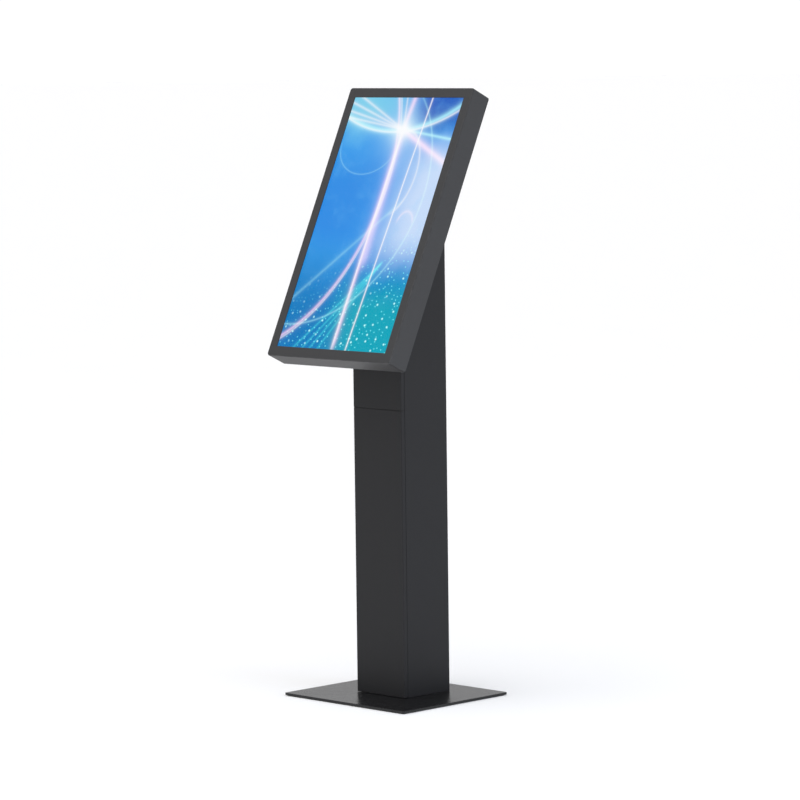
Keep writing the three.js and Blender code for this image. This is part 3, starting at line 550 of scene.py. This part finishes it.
def light_streaks(width, height, foot):
    picture = Picture(width, foot)
    tall = height / width
    white, pink, ice = linear(255, 250, 255), linear(255, 205, 245), linear(170, 240, 255)
    lilac = linear(205, 170, 250)
    heart = (0.03, tall * 0.875)
    picture.ground(tall)
    picture.streak(heart, (0.04, tall * 0.32), 0.042, lilac, 0.85)
    for end in (-0.4, -0.31, -0.24, -0.16):
        picture.streak((0.2, tall * 0.34), (end, -0.04), 0.009, linear(70, 215, 210), 0.5)
    picture.streak(heart, (0.0, -0.02), 0.018, pink, 0.8)
    picture.streak(heart, (-0.01, -0.02), 0.007, white, 0.8)
    picture.streak((0.215, tall + 0.05), (0.12, -0.05), 0.006, white, 0.9)
    picture.streak(heart, (0.06, tall + 0.1), 0.026, pink, 0.8)
    picture.streak(heart, (-0.04, tall + 0.1), 0.008, white, 0.5)
    picture.streak(heart, (0.62, tall * 0.71), 0.03, pink, 0.9)
    picture.streak(heart, (0.6, tall * 0.83), 0.014, ice, 0.8)
    for rise in (0.93, 0.96, 1.0, 1.05):
        picture.streak(heart, (-0.6, tall * rise), 0.011, white, 0.55)
    picture.streak((-0.6, 0.26), (0.24, tall * 0.6), 0.014, ice, 0.3)
    picture.loop((-0.08, tall * 1.42), 0.98, 0.026, ice, 0.85, 1.0, (0.1, -1))
    picture.loop((-0.07, tall * 1.46), 1.06, 0.01, white, 0.6, 1.0, (0.1, -1))
    picture.loop((-0.9, tall * 0.66), 0.93, 0.012, pink, 0.7, 1.3, (1, -0.75))
    picture.loop((-0.91, tall * 0.665), 0.955, 0.006, white, 0.5, 1.3, (1, -0.72))
    picture.loop((-0.5, tall * 0.62), 0.9, 0.008, ice, 0.45, 1.05, (1, -0.6))
    picture.loop((-0.24, tall * 0.81), 0.26, 0.006, ice, 0.3, 0.8, (-0.2, -1))
    picture.loop((0.08, tall * 0.7), 0.19, 0.008, white, 0.5, 1.6, (1, 0.2))
    picture.loop((0.3, tall * 0.5), 0.07, 0.01, pink, 0.45, 1.3, (0, 1))
    picture.flare(heart, 0.06, white, 1.0)
    picture.flare(heart, 0.14, linear(190, 235, 255), 0.75)
    picture.sparkle(13, 0.14, linear(190, 255, 250))
    picture.sparkle(29, 0.19, linear(120, 240, 235))
    return picture.shown(1.0)


# ------------------------------------------------------------------------------ where the paint is handled

HEAD_BOX = Box("front_housing", TO_HEAD)
SIDE_BOX = Box("side_panel_right")
FRONT_BOX = Box("front_lower_panel")
PLATE_BOX = Box("base_plate")
DOOR_BOX = Box("rear_door")


def head_handled(x, y, z):
    """The bezel's outer edge, most of all along its foot."""
    reach = 3 * MM
    sides = abs(x).step(HEAD_BOX.high.x - reach, HEAD_BOX.high.x)
    ends = abs(z - HEAD_BOX.mid.z).step(HEAD_BOX.size.z / 2 - reach, HEAD_BOX.size.z / 2)
    return (sides.math("MAXIMUM", ends)) * y.step(reach, 0.5 * MM) * z.step(0.9, 0.1)


def column_handled(x, y, z):
    """The upright corners, most of all near the floor, where shoes and mops knock them."""
    reach = 1.6 * MM
    side = abs(x).step(SIDE_BOX.high.x - reach, SIDE_BOX.high.x - 0.4 * MM)
    front = abs(y).step(SIDE_BOX.high.y - reach, SIDE_BOX.high.y - 0.4 * MM)
    return side * front * (z.step(0.5, 0.03) * 0.8 + 0.2)


def plate_handled(x, y, z):
    """The plate's rim and a faint scuffing in front of the column."""
    reach = 2.5 * MM
    sides = abs(x).step(PLATE_BOX.high.x - reach, PLATE_BOX.high.x)
    ends = abs(y - PLATE_BOX.mid.y).step(PLATE_BOX.size.y / 2 - reach, PLATE_BOX.size.y / 2)
    return sides.math("MAXIMUM", ends) * 0.7 + y.step(-0.09, -0.2) * 0.06


HEAD_PAINT = powder_coat("head_powder_coat", linear(52, 52, 53), 0.46, 0.3, head_handled)
COLUMN_PAINT = powder_coat("column_powder_coat", linear(30, 30, 32), 0.5, 0.24, column_handled)
PLATE_PAINT = powder_coat("plate_powder_coat", linear(22, 22, 23), 0.27, 0.3, plate_handled)
ZINC = zinc_plate()
CHROME = chrome()
BLACK = moulded_plastic("black_plastic_moulding", linear(28, 28, 30))
# The seam rubber's near-black colour is painted shade in the joint between the front panels.
SEAM_SHADE_RUBBER = moulded_plastic("seam_rubber_painted_shade", linear(6, 6, 7), 0.8)
GREY = moulded_plastic("coated_supply_case", linear(128, 130, 133), 0.42)
JACKET = moulded_plastic("cable_jacket_pvc", linear(24, 24, 25), 0.6)
CREAM = moulded_plastic("connector_nylon", linear(214, 208, 190), 0.45)
RUBBER = ribbed_rubber()
BOARD = circuit_board()
GLASS = cover_glass()

# ------------------------------------------------------------------------------------- pieces and nodes


def stand_in(piece, material, *nodes):
    """Puts a finished piece in the place of CAD nodes, on their body and with the material it is given."""
    piece.data.materials.append(material)
    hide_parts(*nodes)
    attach(piece, NODES[nodes[0]]["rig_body"])
    return piece


def extra(piece, material, body):
    """A small piece that the CAD model doesn't hold."""
    piece.data.materials.append(material)
    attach(piece, body)
    return piece


def paint_where(piece, material, test):
    """Gives a second material to the faces whose middle passes a test."""
    piece.data.materials.append(material)
    number = len(piece.data.materials) - 1
    for face in piece.data.polygons:
        if test(face.center):
            face.material_index = number


def turned(name, profile, place, steps=48):
    """A solid of revolution about the local z of a placing matrix."""
    bm = bmesh.new()
    lathe(bm, profile, steps)
    return finish_mesh(bm, name, place)


def screw(name, place, radius, body, material=ZINC):
    """A pan-head screw whose head rises along the place's z, with a cross recess."""
    rise = 0.62 * radius
    bm = bmesh.new()
    arm, half = 0.56 * radius, 0.11 * radius
    cross = []
    for turn in range(4):
        corner = Matrix.Rotation(math.radians(90 * turn), 2)
        cross += [tuple(corner @ Vector(point)) for point in ((half, half), (half, arm), (-half, arm))]
    dome = [(radius * (1 - math.cos(a)) * 0.55, rise * math.sin(a)) for a in (0.3, 0.7, 1.1, 1.57)]
    slab(bm, [circle(0, 0, radius, 28), cross], 0, rise, 0.02 * MM, [(0, 0), *dome])
    return extra(finish_mesh(bm, name, place), material, body)


def facing(spot, direction):
    """A placing matrix at a spot, with its z along a direction."""
    return Matrix.Translation(spot) @ Vector(direction).to_track_quat("Z", "Y").to_matrix().to_4x4()


# ------------------------------------------------------------------------------------ base and column

FOLD = 1.9 * MM  # outer radius where the column's sheet is folded
NEAR = 0.1 * MM  # two places closer than this count as one


def base():
    mat, foot = Box("base_mat"), Box("foot_plate")
    bolts = [Box(f"foot_bolt_{i + 1}") for i in range(4)]
    holes = [circle(bolt.mid.x, bolt.mid.y, 4.3 * MM) for bolt in bolts]
    mat_loop = round_box(mat.mid.x, mat.mid.y, mat.size.x, mat.size.y, 6 * MM)
    plate_loop = round_box(PLATE_BOX.mid.x, PLATE_BOX.mid.y, PLATE_BOX.size.x, PLATE_BOX.size.y, 6 * MM)
    foot_loop = round_box(foot.mid.x, foot.mid.y, foot.size.x, foot.size.y, 3 * MM)
    stand_in(plate("floor_mat", [mat_loop], mat.low.z, mat.high.z, 0.3 * MM), RUBBER, "base_mat")
    floor_plate = plate("floor_plate", [plate_loop, *holes], PLATE_BOX.low.z, PLATE_BOX.high.z, 0.7 * MM)
    stand_in(floor_plate, PLATE_PAINT, "base_plate")
    stand_in(plate("column_foot", [foot_loop, *holes], foot.low.z, foot.high.z, 0.4 * MM), ZINC, "foot_plate")
    for i, bolt in enumerate(bolts):
        place = Matrix.Translation((bolt.mid.x, bolt.mid.y, foot.high.z + 0.3 * MM))
        made = hex_bolt(f"column_bolt_{i + 1}", place, 4 * MM, 13 * MM, 10 * MM)
        stand_in(made, ZINC, f"foot_bolt_{i + 1}")


def hex_bolt(name, place, radius, across, length):
    """A hexagon bolt along the place's z, its underside at z = 0 and its shank below."""
    bm = bmesh.new()
    height = radius * 1.3
    corners = [(*point, 0.4 * MM) for point in circle(0, 0, across / math.sqrt(3), 6)]
    slab(bm, [filleted(corners)], 0, height, 0.5 * MM)
    shank = [(0, -length), (radius - 0.5 * MM, -length), (radius, 0.5 * MM - length), (radius, 0.01 * MM)]
    lathe(bm, [*shank, (0, 0.01 * MM)], 32)
    return finish_mesh(bm, name, place)


def front_fold(a, b):
    """The radius of a front panel's two upright folds."""
    outer = min(abs(a.x), abs(b.x)) > SIDE_BOX.high.x - NEAR
    return FOLD if outer and max(a.y, b.y) < FRONT_BOX.low.y + NEAR and abs(a.z - b.z) > NEAR else None


def side_fold(a, b):
    """The radius of a side panel's outer folds, whose two ends lie equally far back."""
    outer = min(abs(a.x), abs(b.x)) > SIDE_BOX.high.x - NEAR
    level = abs(a.y - b.y) < NEAR
    return FOLD if outer and level else None


def neck_fold(a, b):
    """The radius of the fold where the neck turns into the shoulder."""
    back = min(a.y, b.y) > SIDE_BOX.high.y - NEAR
    return FOLD if back and abs(a.z - b.z) < NEAR and a.z > Box("rear_neck_panel").low.z + NEAR else None


def seam_gasket_painted_shade():
    """A black strip that fills the joint between the front panels, a little below their faces; its near-black
    colour is painted shade in the joint.
    """
    upper = Box("front_upper_panel")
    recess, deep, fit = 0.8 * MM, 5 * MM, 0.05 * MM
    x, y, back = FRONT_BOX.high.x, FRONT_BOX.low.y, FRONT_BOX.low.y + 11.5 * MM
    turns = [(-x, back, 0), (-x, y, 1), (x, y, 1), (x, back, 0)]
    outer = [(a - math.copysign(recess, a), b + recess * bent, 1.2 * MM * bent) for a, b, bent in turns]
    inner = [(a - math.copysign(deep, a), b + deep * bent, 0.6 * MM * bent) for a, b, bent in turns[::-1]]
    low, high = FRONT_BOX.high.z + fit, upper.low.z - fit
    strip = plate("seam_gasket_painted_shade", [filleted([*outer, *inner])], low, high, 0.2 * MM)
    # The strip's near-black material paints the shade of the joint between the panels.
    extra(strip, SEAM_SHADE_RUBBER, "frame")


def column():
    for node in ("front_lower_panel", "front_upper_panel"):
        stand_in(softened(node, 0.25 * MM, front_fold, 4), COLUMN_PAINT, node)
    seam_gasket_painted_shade()
    for node in ("side_panel_left", "side_panel_right"):
        stand_in(softened(node, 0.25 * MM, side_fold, 4), COLUMN_PAINT, node)
    stand_in(softened("rear_neck_panel", 0.25 * MM, neck_fold, 4), COLUMN_PAINT, "rear_neck_panel")
    stand_in(softened("io_panel", 0.25 * MM), COLUMN_PAINT, "io_panel")
    stand_in(softened("lock_strike", 0.4 * MM), ZINC, "lock_strike")


# --------------------------------------------------------------------------------- doors, locks, hinges


def rear_door():
    lock = Vector(JOINTS["door_lock_turn"]["pos_m"])
    low, high, mid = DOOR_BOX.low, DOOR_BOX.high, DOOR_BOX.mid
    sheet, from_end = 2 * MM, 90 * MM
    loops = [round_box(mid.x, mid.z, DOOR_BOX.size.x, DOOR_BOX.size.z, 2.4 * MM)]
    loops.append(circle(lock.x, lock.z, 9.3 * MM, 40))
    for z in (low.z + from_end, high.z - from_end):
        loops += slot_bank(mid.x, z, 84 * MM, 7, 12 * MM)
    side = tray_side(low.y, high.y, sheet, FOLD)
    leaf = plate("rear_door_leaf", loops, high.y - sheet, high.y, 0.3 * MM, UPRIGHT, side=side)
    stand_in(leaf, COLUMN_PAINT, "rear_door")


def cam_lock(name, place):
    """A lock along the place's z, which points out of the door with the door's face at z = 0."""
    body, rim, plug, deep = 9 * MM, 12 * MM, 6 * MM, 14 * MM
    face, key_floor = 2.3 * MM, -4 * MM
    groove, half_pitch = 0.35 * MM, 0.5 * MM
    thread = [(body - (groove if i % 2 else 0), -deep + 1 * MM + i * half_pitch) for i in range(23)]
    profile = [(plug + 0.3 * MM, -deep), (body - 0.6 * MM, -deep), *thread, (body, 0.3 * MM)]
    profile += [(rim - 0.2 * MM, 0.3 * MM), (rim, 0.6 * MM), (rim - 0.5 * MM, 1.7 * MM)]
    profile += [(rim - 1.3 * MM, face), (plug + 1.2 * MM, face), (plug + 0.3 * MM, 1.9 * MM)]
    stand_in(turned(f"{name}_housing", profile, place), CHROME, f"{name}_barrel")
    core = bmesh.new()
    keyhole = round_box(0, 0, 1.6 * MM, 8 * MM, 0.4 * MM)
    slab(core, [circle(0, 0, plug, 40), keyhole], key_floor, face, 0.3 * MM)
    closed = circle(0, 0, plug - 0.05 * MM, 40)
    slab(core, [closed], -deep - 0.3 * MM, key_floor + 0.1 * MM, 0.05 * MM)
    stand_in(finish_mesh(core, f"{name}_core", place), CHROME, f"{name}_plug")
    stand_in(softened(f"{name}_cam", 0.35 * MM), ZINC, f"{name}_cam")


def hinge(name, outward, up, rows):
    """The finished leaves and pin of one hinge, with screws in rows along both leaves."""
    frame_leaf, door_leaf, pin = (f"{name}_{part}" for part in ("frame_leaf", "door_leaf", "pin"))
    for node in (frame_leaf, door_leaf, pin):
        stand_in(softened(node, 0.2 * MM), ZINC, node)
    to_hinge = facing((0, 0, 0), outward).inverted()
    leaf_sheet, head_radius = 1.5 * MM, 2.4 * MM
    for node in (frame_leaf, door_leaf):
        middle = Box(node).mid
        pin_middle = Box(pin).mid
        across = (middle - pin_middle) - Vector(up) * (middle - pin_middle).dot(Vector(up))
        across -= Vector(outward) * across.dot(Vector(outward))
        skin = Box(node, to_hinge).low.z + leaf_sheet
        reach = across.length * 1.35 + 1 * MM
        for number, row in enumerate(rows):
            spot = pin_middle + across.normalized() * reach + Vector(up) * row
            spot += Vector(outward) * (skin - spot.dot(Vector(outward)))
            place = facing(spot, outward)
            screw(f"{node}_screw_{number + 1}", place, head_radius, NODES[node]["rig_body"])


def doors():
    back, up = (0, 1, 0), (0, 0, 1)
    rear_door()
    cam_lock("door_lock", facing(JOINTS["door_lock_turn"]["pos_m"], back))
    for name in ("door_hinge_lower", "door_hinge_upper"):
        hinge(name, back, up, (-22 * MM, 22 * MM))


# ----------------------------------------------------------------------------------- power and network


def electrics():
    for node in ("switch_housing", "network_socket"):
        stand_in(softened(node, 0.4 * MM), BLACK, node)
    inlet, box = softened("power_inlet", 0.35 * MM), Box("power_inlet")
    stand_in(inlet, BLACK, "power_inlet")

    def is_pin(spot):
        offset = spot - box.mid
        in_cavity = spot.y > box.high.y - 17 * MM and abs(offset.x) < 9 * MM and abs(offset.z) < 5 * MM
        return in_cavity and spot.y < box.high.y - 3 * MM

    paint_where(inlet, CHROME, is_pin)
    stand_in(softened("power_rocker", 0.5 * MM, steps=3), BLACK, "power_rocker")
    stand_in(softened("power_supply", 1.2 * MM, steps=3), GREY, "power_supply")
    for node in ("inlet_lead", "wiring_harness"):
        cable = softened(node, 0.2 * MM)
        cable.modifiers.clear()
        cable.data.shade_smooth()
        stand_in(cable, JACKET, node)


# --------------------------------------------------------------------------------------------- the head


def head_outline(box, away, radius):
    """A rounded rectangle round a box's front, moved in by a distance."""
    width, height = box.size.x - 2 * away, box.size.z - 2 * away
    return round_box(box.mid.x, box.mid.z, width, height, max(radius - away, 0.6 * MM), 8)


def front_housing():
    sheet, round_edge, corner, wall = 2 * MM, 3 * MM, 8 * MM, 0.3 * MM
    glass = Box("touch_glass", TO_HEAD)
    bezel = (HEAD_BOX.size.x - glass.size.x) / 2 + 7 * MM
    depth = HEAD_BOX.high.y
    profile = [(away, rise) for away, rise in rim_profile(round_edge, 8)]
    profile = [(0, depth - wall), *reversed(profile)]
    lip = [(bezel - 0.6 * MM, 0), (bezel - 0.2 * MM, 0.15 * MM), (bezel, 0.6 * MM), (bezel, sheet)]
    inside = [(sheet + 1 * MM, sheet), (sheet, sheet + 1 * MM), (sheet, depth - wall), (sheet - wall, depth)]
    bm = bmesh.new()
    sweep(bm, lambda away: head_outline(HEAD_BOX, away, corner), [*profile, *lip, *inside, (wall, depth)])
    bm.transform(UPRIGHT)
    stand_in(finish_mesh(bm, "bezel_shell", HEAD), HEAD_PAINT, "front_housing")


def display():
    glass, lcd = Box("touch_glass", TO_HEAD), Box("lcd_panel", TO_HEAD)
    pane = plate("screen_glass", [head_outline(glass, 0, 3 * MM)], glass.low.y, glass.high.y, 0.5 * MM,
                 UPRIGHT, HEAD)
    stand_in(pane, GLASS, "touch_glass")
    lap = 6.5 * MM
    width, height = lcd.size.x - 2 * lap, lcd.size.z - 2 * lap
    picture = light_streaks(width, height, lcd.mid.z - height / 2)
    panel = plate("screen_panel", [head_outline(lcd, 0, 2 * MM)], lcd.low.y, lcd.high.y, 0.6 * MM,
                  UPRIGHT, HEAD)
    stand_in(panel, ZINC, "lcd_panel")
    paint_where(panel, picture, lambda spot: spot.y < lcd.low.y + 0.3 * MM)
    stand_in(softened("display_chassis", 0.4 * MM), ZINC, "display_chassis")


def rear_cover():
    cover, hatch = Box("rear_cover", TO_HEAD), Box("service_hatch", TO_HEAD)
    fan_x = Box("fan_frame_right", TO_HEAD).mid.x
    speaker = Box("speaker_right", TO_HEAD)
    plate_mid = Box("head_mount_plate", TO_HEAD).mid
    loops = [head_outline(cover, 0, 5.7 * MM)]
    loops.append(round_box(hatch.mid.x, hatch.mid.z, hatch.size.x + 4 * MM, hatch.size.z + 4 * MM, 3 * MM))
    loops.append(round_box(0, plate_mid.z, 70 * MM, 44 * MM, 6 * MM))
    for i in range(4):
        bolt = Box(f"mount_bolt_{i + 1}", TO_HEAD).mid
        loops.append(circle(bolt.x, bolt.z, 3.3 * MM))
    for side in (-1, 1):
        loops += slot_bank(side * fan_x, hatch.mid.z, 52 * MM, 6, 9 * MM)
        loops += slot_bank(side * fan_x, 150 * MM, 52 * MM, 9, 12 * MM)
        loops += slot_bank(side * speaker.mid.x, speaker.mid.z, 56 * MM, 4, 9 * MM)
    sheet = plate("head_back_cover", loops, cover.low.y, cover.high.y, 0.3 * MM, UPRIGHT, HEAD)
    stand_in(sheet, HEAD_PAINT, "rear_cover")
    back = HEAD.to_3x3() @ Vector((0, 1, 0))
    inset_by = 9 * MM
    rows = [cover.low.z + inset_by, cover.mid.z, cover.high.z - inset_by]
    spots = [(side * (cover.high.x - inset_by), z) for side in (-1, 1) for z in rows]
    spots += [(0, cover.low.z + inset_by), (0, cover.high.z - inset_by)]
    for number, (x, z) in enumerate(spots):
        place = facing(HEAD @ Vector((x, cover.high.y, z)), back)
        screw(f"cover_screw_{number + 1}", place, 3 * MM, "frame", BLACK)


def service_hatch():
    hatch = Box("service_hatch", TO_HEAD)
    lock = TO_HEAD @ Vector(JOINTS["hatch_lock_turn"]["pos_m"])
    loops = [round_box(hatch.mid.x, hatch.mid.z, hatch.size.x, hatch.size.z, 2 * MM)]
    loops.append(circle(lock.x, lock.z, 9.3 * MM, 40))
    leaf = plate("hatch_leaf", loops, hatch.low.y, hatch.high.y, 0.3 * MM, UPRIGHT, HEAD)
    stand_in(leaf, HEAD_PAINT, "service_hatch")
    out, up = HEAD.to_3x3() @ Vector((0, 1, 0)), HEAD.to_3x3() @ Vector((0, 0, 1))
    cam_lock("hatch_lock", facing(JOINTS["hatch_lock_turn"]["pos_m"], out))
    hinge("hatch_hinge", out, up, (-52 * MM, 0, 52 * MM))
    stand_in(softened("hatch_strike", 0.4 * MM), ZINC, "hatch_strike")


def mounting():
    for node in ("head_rail_left", "head_rail_right", "head_mount_plate"):
        stand_in(softened(node, 0.3 * MM), ZINC, node)
    up = HEAD.to_3x3() @ Vector((0, 1, 0))
    top = Box("head_mount_plate", TO_HEAD).high.y + 0.3 * MM
    for i in range(4):
        bolt = Box(f"mount_bolt_{i + 1}", TO_HEAD).mid
        place = facing(HEAD @ Vector((bolt.x, top, bolt.z)), up)
        bolt_piece = hex_bolt(f"head_bolt_{i + 1}", place, 3 * MM, 10 * MM, 16 * MM)
        stand_in(bolt_piece, ZINC, f"mount_bolt_{i + 1}")


def head_contents():
    board = softened("driver_board", 0.15 * MM)
    stand_in(board, BOARD, "driver_board")
    box = Box("driver_board", TO_HEAD)
    skin = box.low.y + 1.7 * MM

    def is_sink(spot):
        local = TO_HEAD @ spot
        return local.y > skin and 5 * MM < local.z - box.mid.z < 50 * MM and local.x - box.mid.x < 20 * MM

    def is_socket(spot):
        local = TO_HEAD @ spot
        return local.y > skin and local.x - box.mid.x > box.size.x / 2 - 15 * MM

    def is_can(spot):
        local = TO_HEAD @ spot
        return local.y > skin and local.z - box.mid.z < -40 * MM

    paint_where(board, ZINC, is_sink)
    paint_where(board, CREAM, is_socket)
    paint_where(board, BLACK, is_can)
    stand_in(softened("media_player", 0.8 * MM, steps=3), BLACK, "media_player")
    for node in ("speaker_left", "speaker_right"):
        stand_in(softened(node, 0.8 * MM, steps=3), BLACK, node)


def fan(side):
    box = Box(f"fan_frame_{side}", TO_HEAD)
    centre = TO_HEAD @ Vector(JOINTS[f"fan_{side}_spin"]["pos_m"])
    x, z = centre.x, centre.z
    bore, screw_hole, hub = 27.5 * MM, 2.1 * MM, 12 * MM
    loops = [round_box(x, z, box.size.x, box.size.z, 4 * MM), circle(x, z, bore, 56)]
    corner = box.size.x / 2 - 5 * MM
    for dx in (-corner, corner):
        loops += [circle(x + dx, z + dz, screw_hole, 20) for dz in (-corner, corner)]
    bm = bmesh.new()
    slab(bm, loops, box.low.y, box.high.y, 0.5 * MM)
    slab(bm, [circle(x, z, hub, 40)], box.low.y, box.low.y + 2 * MM, 0.3 * MM)
    level = round_box(0, 0, 56 * MM, 1.5 * MM, 0.3 * MM)
    for turn in (45, 135):
        arm = Matrix.Rotation(math.radians(turn), 2)
        strut = [tuple(arm @ Vector(point) + Vector((x, z))) for point in level]
        slab(bm, [strut], box.low.y, box.low.y + 1.9 * MM, 0.2 * MM)
    bm.transform(UPRIGHT)
    stand_in(finish_mesh(bm, f"fan_{side}_housing", HEAD), BLACK, f"fan_frame_{side}")
    rotor(side, HEAD @ Matrix.Translation((x, 0, z)))


def rotor(side, place):
    """A hub and seven pitched, swept blades round the place's y axis."""
    box = Box(f"fan_rotor_{side}", TO_HEAD)
    hub, tip, thick = 12 * MM, 26 * MM, 0.8 * MM
    rise, low = box.size.y, box.low.y
    bm = bmesh.new()
    cap = [(0, low), (hub - 1 * MM, low), (hub, low + 1 * MM), (hub, low + rise - 1.5 * MM)]
    lathe(bm, [*cap, (hub - 1.5 * MM, low + rise), (0, low + rise)], 40)
    for number in range(7):
        grids = []
        for face in (-thick / 2, thick / 2):
            rows = []
            for i in range(6):
                radius = hub - 0.5 * MM + (tip - hub + 0.5 * MM) * i / 5
                row = []
                for j in range(6):
                    along = j / 5 - 0.5
                    angle = math.radians(number * 360 / 7 + along * (44 - 8 * i / 5) + 5 * i / 5)
                    height = low + rise / 2 + along * rise * 0.8 + 1.2 * MM * math.cos(along * math.pi) + face
                    row.append(bm.verts.new((radius * math.cos(angle), radius * math.sin(angle), height)))
                rows.append(row)
            grids.append(rows)
        close_blade(bm, *grids)
    bm.transform(UPRIGHT)
    stand_in(finish_mesh(bm, f"fan_{side}_rotor", place, 60), BLACK, f"fan_rotor_{side}")


def close_blade(bm, lower, upper):
    """Skins two grids of points, one above the other, and the sides between them."""
    last = len(lower) - 1
    for i in range(last):
        for j in range(last):
            for grid in (lower, upper):
                bm.faces.new((grid[i][j], grid[i][j + 1], grid[i + 1][j + 1], grid[i + 1][j]))
    rim = [(0, j) for j in range(last)] + [(i, last) for i in range(last)]
    rim += [(last, j) for j in range(last, 0, -1)] + [(i, 0) for i in range(last, 0, -1)]
    for (a, b), (c, d) in zip(rim, rim[1:] + rim[:1]):
        bm.faces.new((lower[a][b], lower[c][d], upper[c][d], upper[a][b]))


# ------------------------------------------------------------------------------ camera, floor and light


def camera():
    """The camera stands at the front right, a little above the head, and looks slightly down."""
    azimuth, distance, height = math.radians(44.78), 10.006, 1.711
    yaw, pitch, roll = math.radians(44.78), math.radians(5.36), math.radians(-0.71)
    turn = Matrix.Rotation(yaw, 4, "Z") @ Matrix.Rotation(math.pi / 2 - pitch, 4, "X")
    lens = bpy.data.cameras.new("camera")
    lens.lens = 174.2
    lens.sensor_width = 36
    lens.clip_end = 400
    made = bpy.data.objects.new("camera", lens)
    bpy.context.scene.collection.objects.link(made)
    spot = Matrix.Translation((math.sin(azimuth) * distance, -math.cos(azimuth) * distance, height))
    made.matrix_world = spot @ turn @ Matrix.Rotation(roll, 4, "Z")
    bpy.context.scene.camera = made


def floor():
    """A pale studio floor that reaches past the horizon of every view."""
    graph = Graph("studio_floor")
    fine = graph.noise(3, 3)
    graph.set(Base_Color=graph.mix(fine, (0.78, 0.78, 0.78, 1), (0.82, 0.82, 0.82, 1)), Roughness=0.9)
    graph.set(Emission_Color=(1, 1, 1, 1), Emission_Strength=0.2)
    bm = bmesh.new()
    bmesh.ops.create_circle(bm, cap_ends=True, segments=96, radius=150)
    made = finish_mesh(bm, "studio_floor")
    made.data.materials.append(graph.material)


def lights():
    scene = bpy.context.scene
    scene.view_settings.view_transform = "Standard"
    world = bpy.data.worlds.new("studio")
    scene.world = world
    world.use_nodes = True
    tree = world.node_tree
    background = tree.nodes["Background"]
    coords = tree.nodes.new("ShaderNodeTexCoord")
    parts = tree.nodes.new("ShaderNodeSeparateXYZ")
    ramp = tree.nodes.new("ShaderNodeValToRGB")
    tree.links.new(coords.outputs["Generated"], parts.inputs[0])
    tree.links.new(parts.outputs["Z"], ramp.inputs[0])
    tree.links.new(ramp.outputs[0], background.inputs[0])
    ramp.color_ramp.elements[0].position = 0.02
    ramp.color_ramp.elements[0].color = (1.05, 1.05, 1.05, 1)
    ramp.color_ramp.elements[1].position = 0.45
    ramp.color_ramp.elements[1].color = (0.42, 0.42, 0.44, 1)
    sun = bpy.data.lights.new("overhead_softbox", "SUN")
    sun.energy = 1.9
    sun.angle = math.radians(70)
    lamp = bpy.data.objects.new("overhead_softbox", sun)
    lamp.matrix_world = facing((0, 0, 3), (-0.1, -0.5, 1))
    scene.collection.objects.link(lamp)
    panel = bpy.data.lights.new("cool_side_panel", "AREA")
    panel.energy, panel.size, panel.color = 130, 3, (0.7, 0.82, 1.0)
    side_lamp = bpy.data.objects.new("cool_side_panel", panel)
    side_lamp.matrix_world = facing((5, 0.5, 1.6), (1, 0, 0.1))
    side_lamp.visible_glossy = False  # it tints the side and doesn't mirror in the floor plate
    scene.collection.objects.link(side_lamp)


camera()
base()
column()
doors()
electrics()
front_housing()
display()
rear_cover()
service_hatch()
mounting()
head_contents()
fan("left")
fan("right")
floor()
lights()
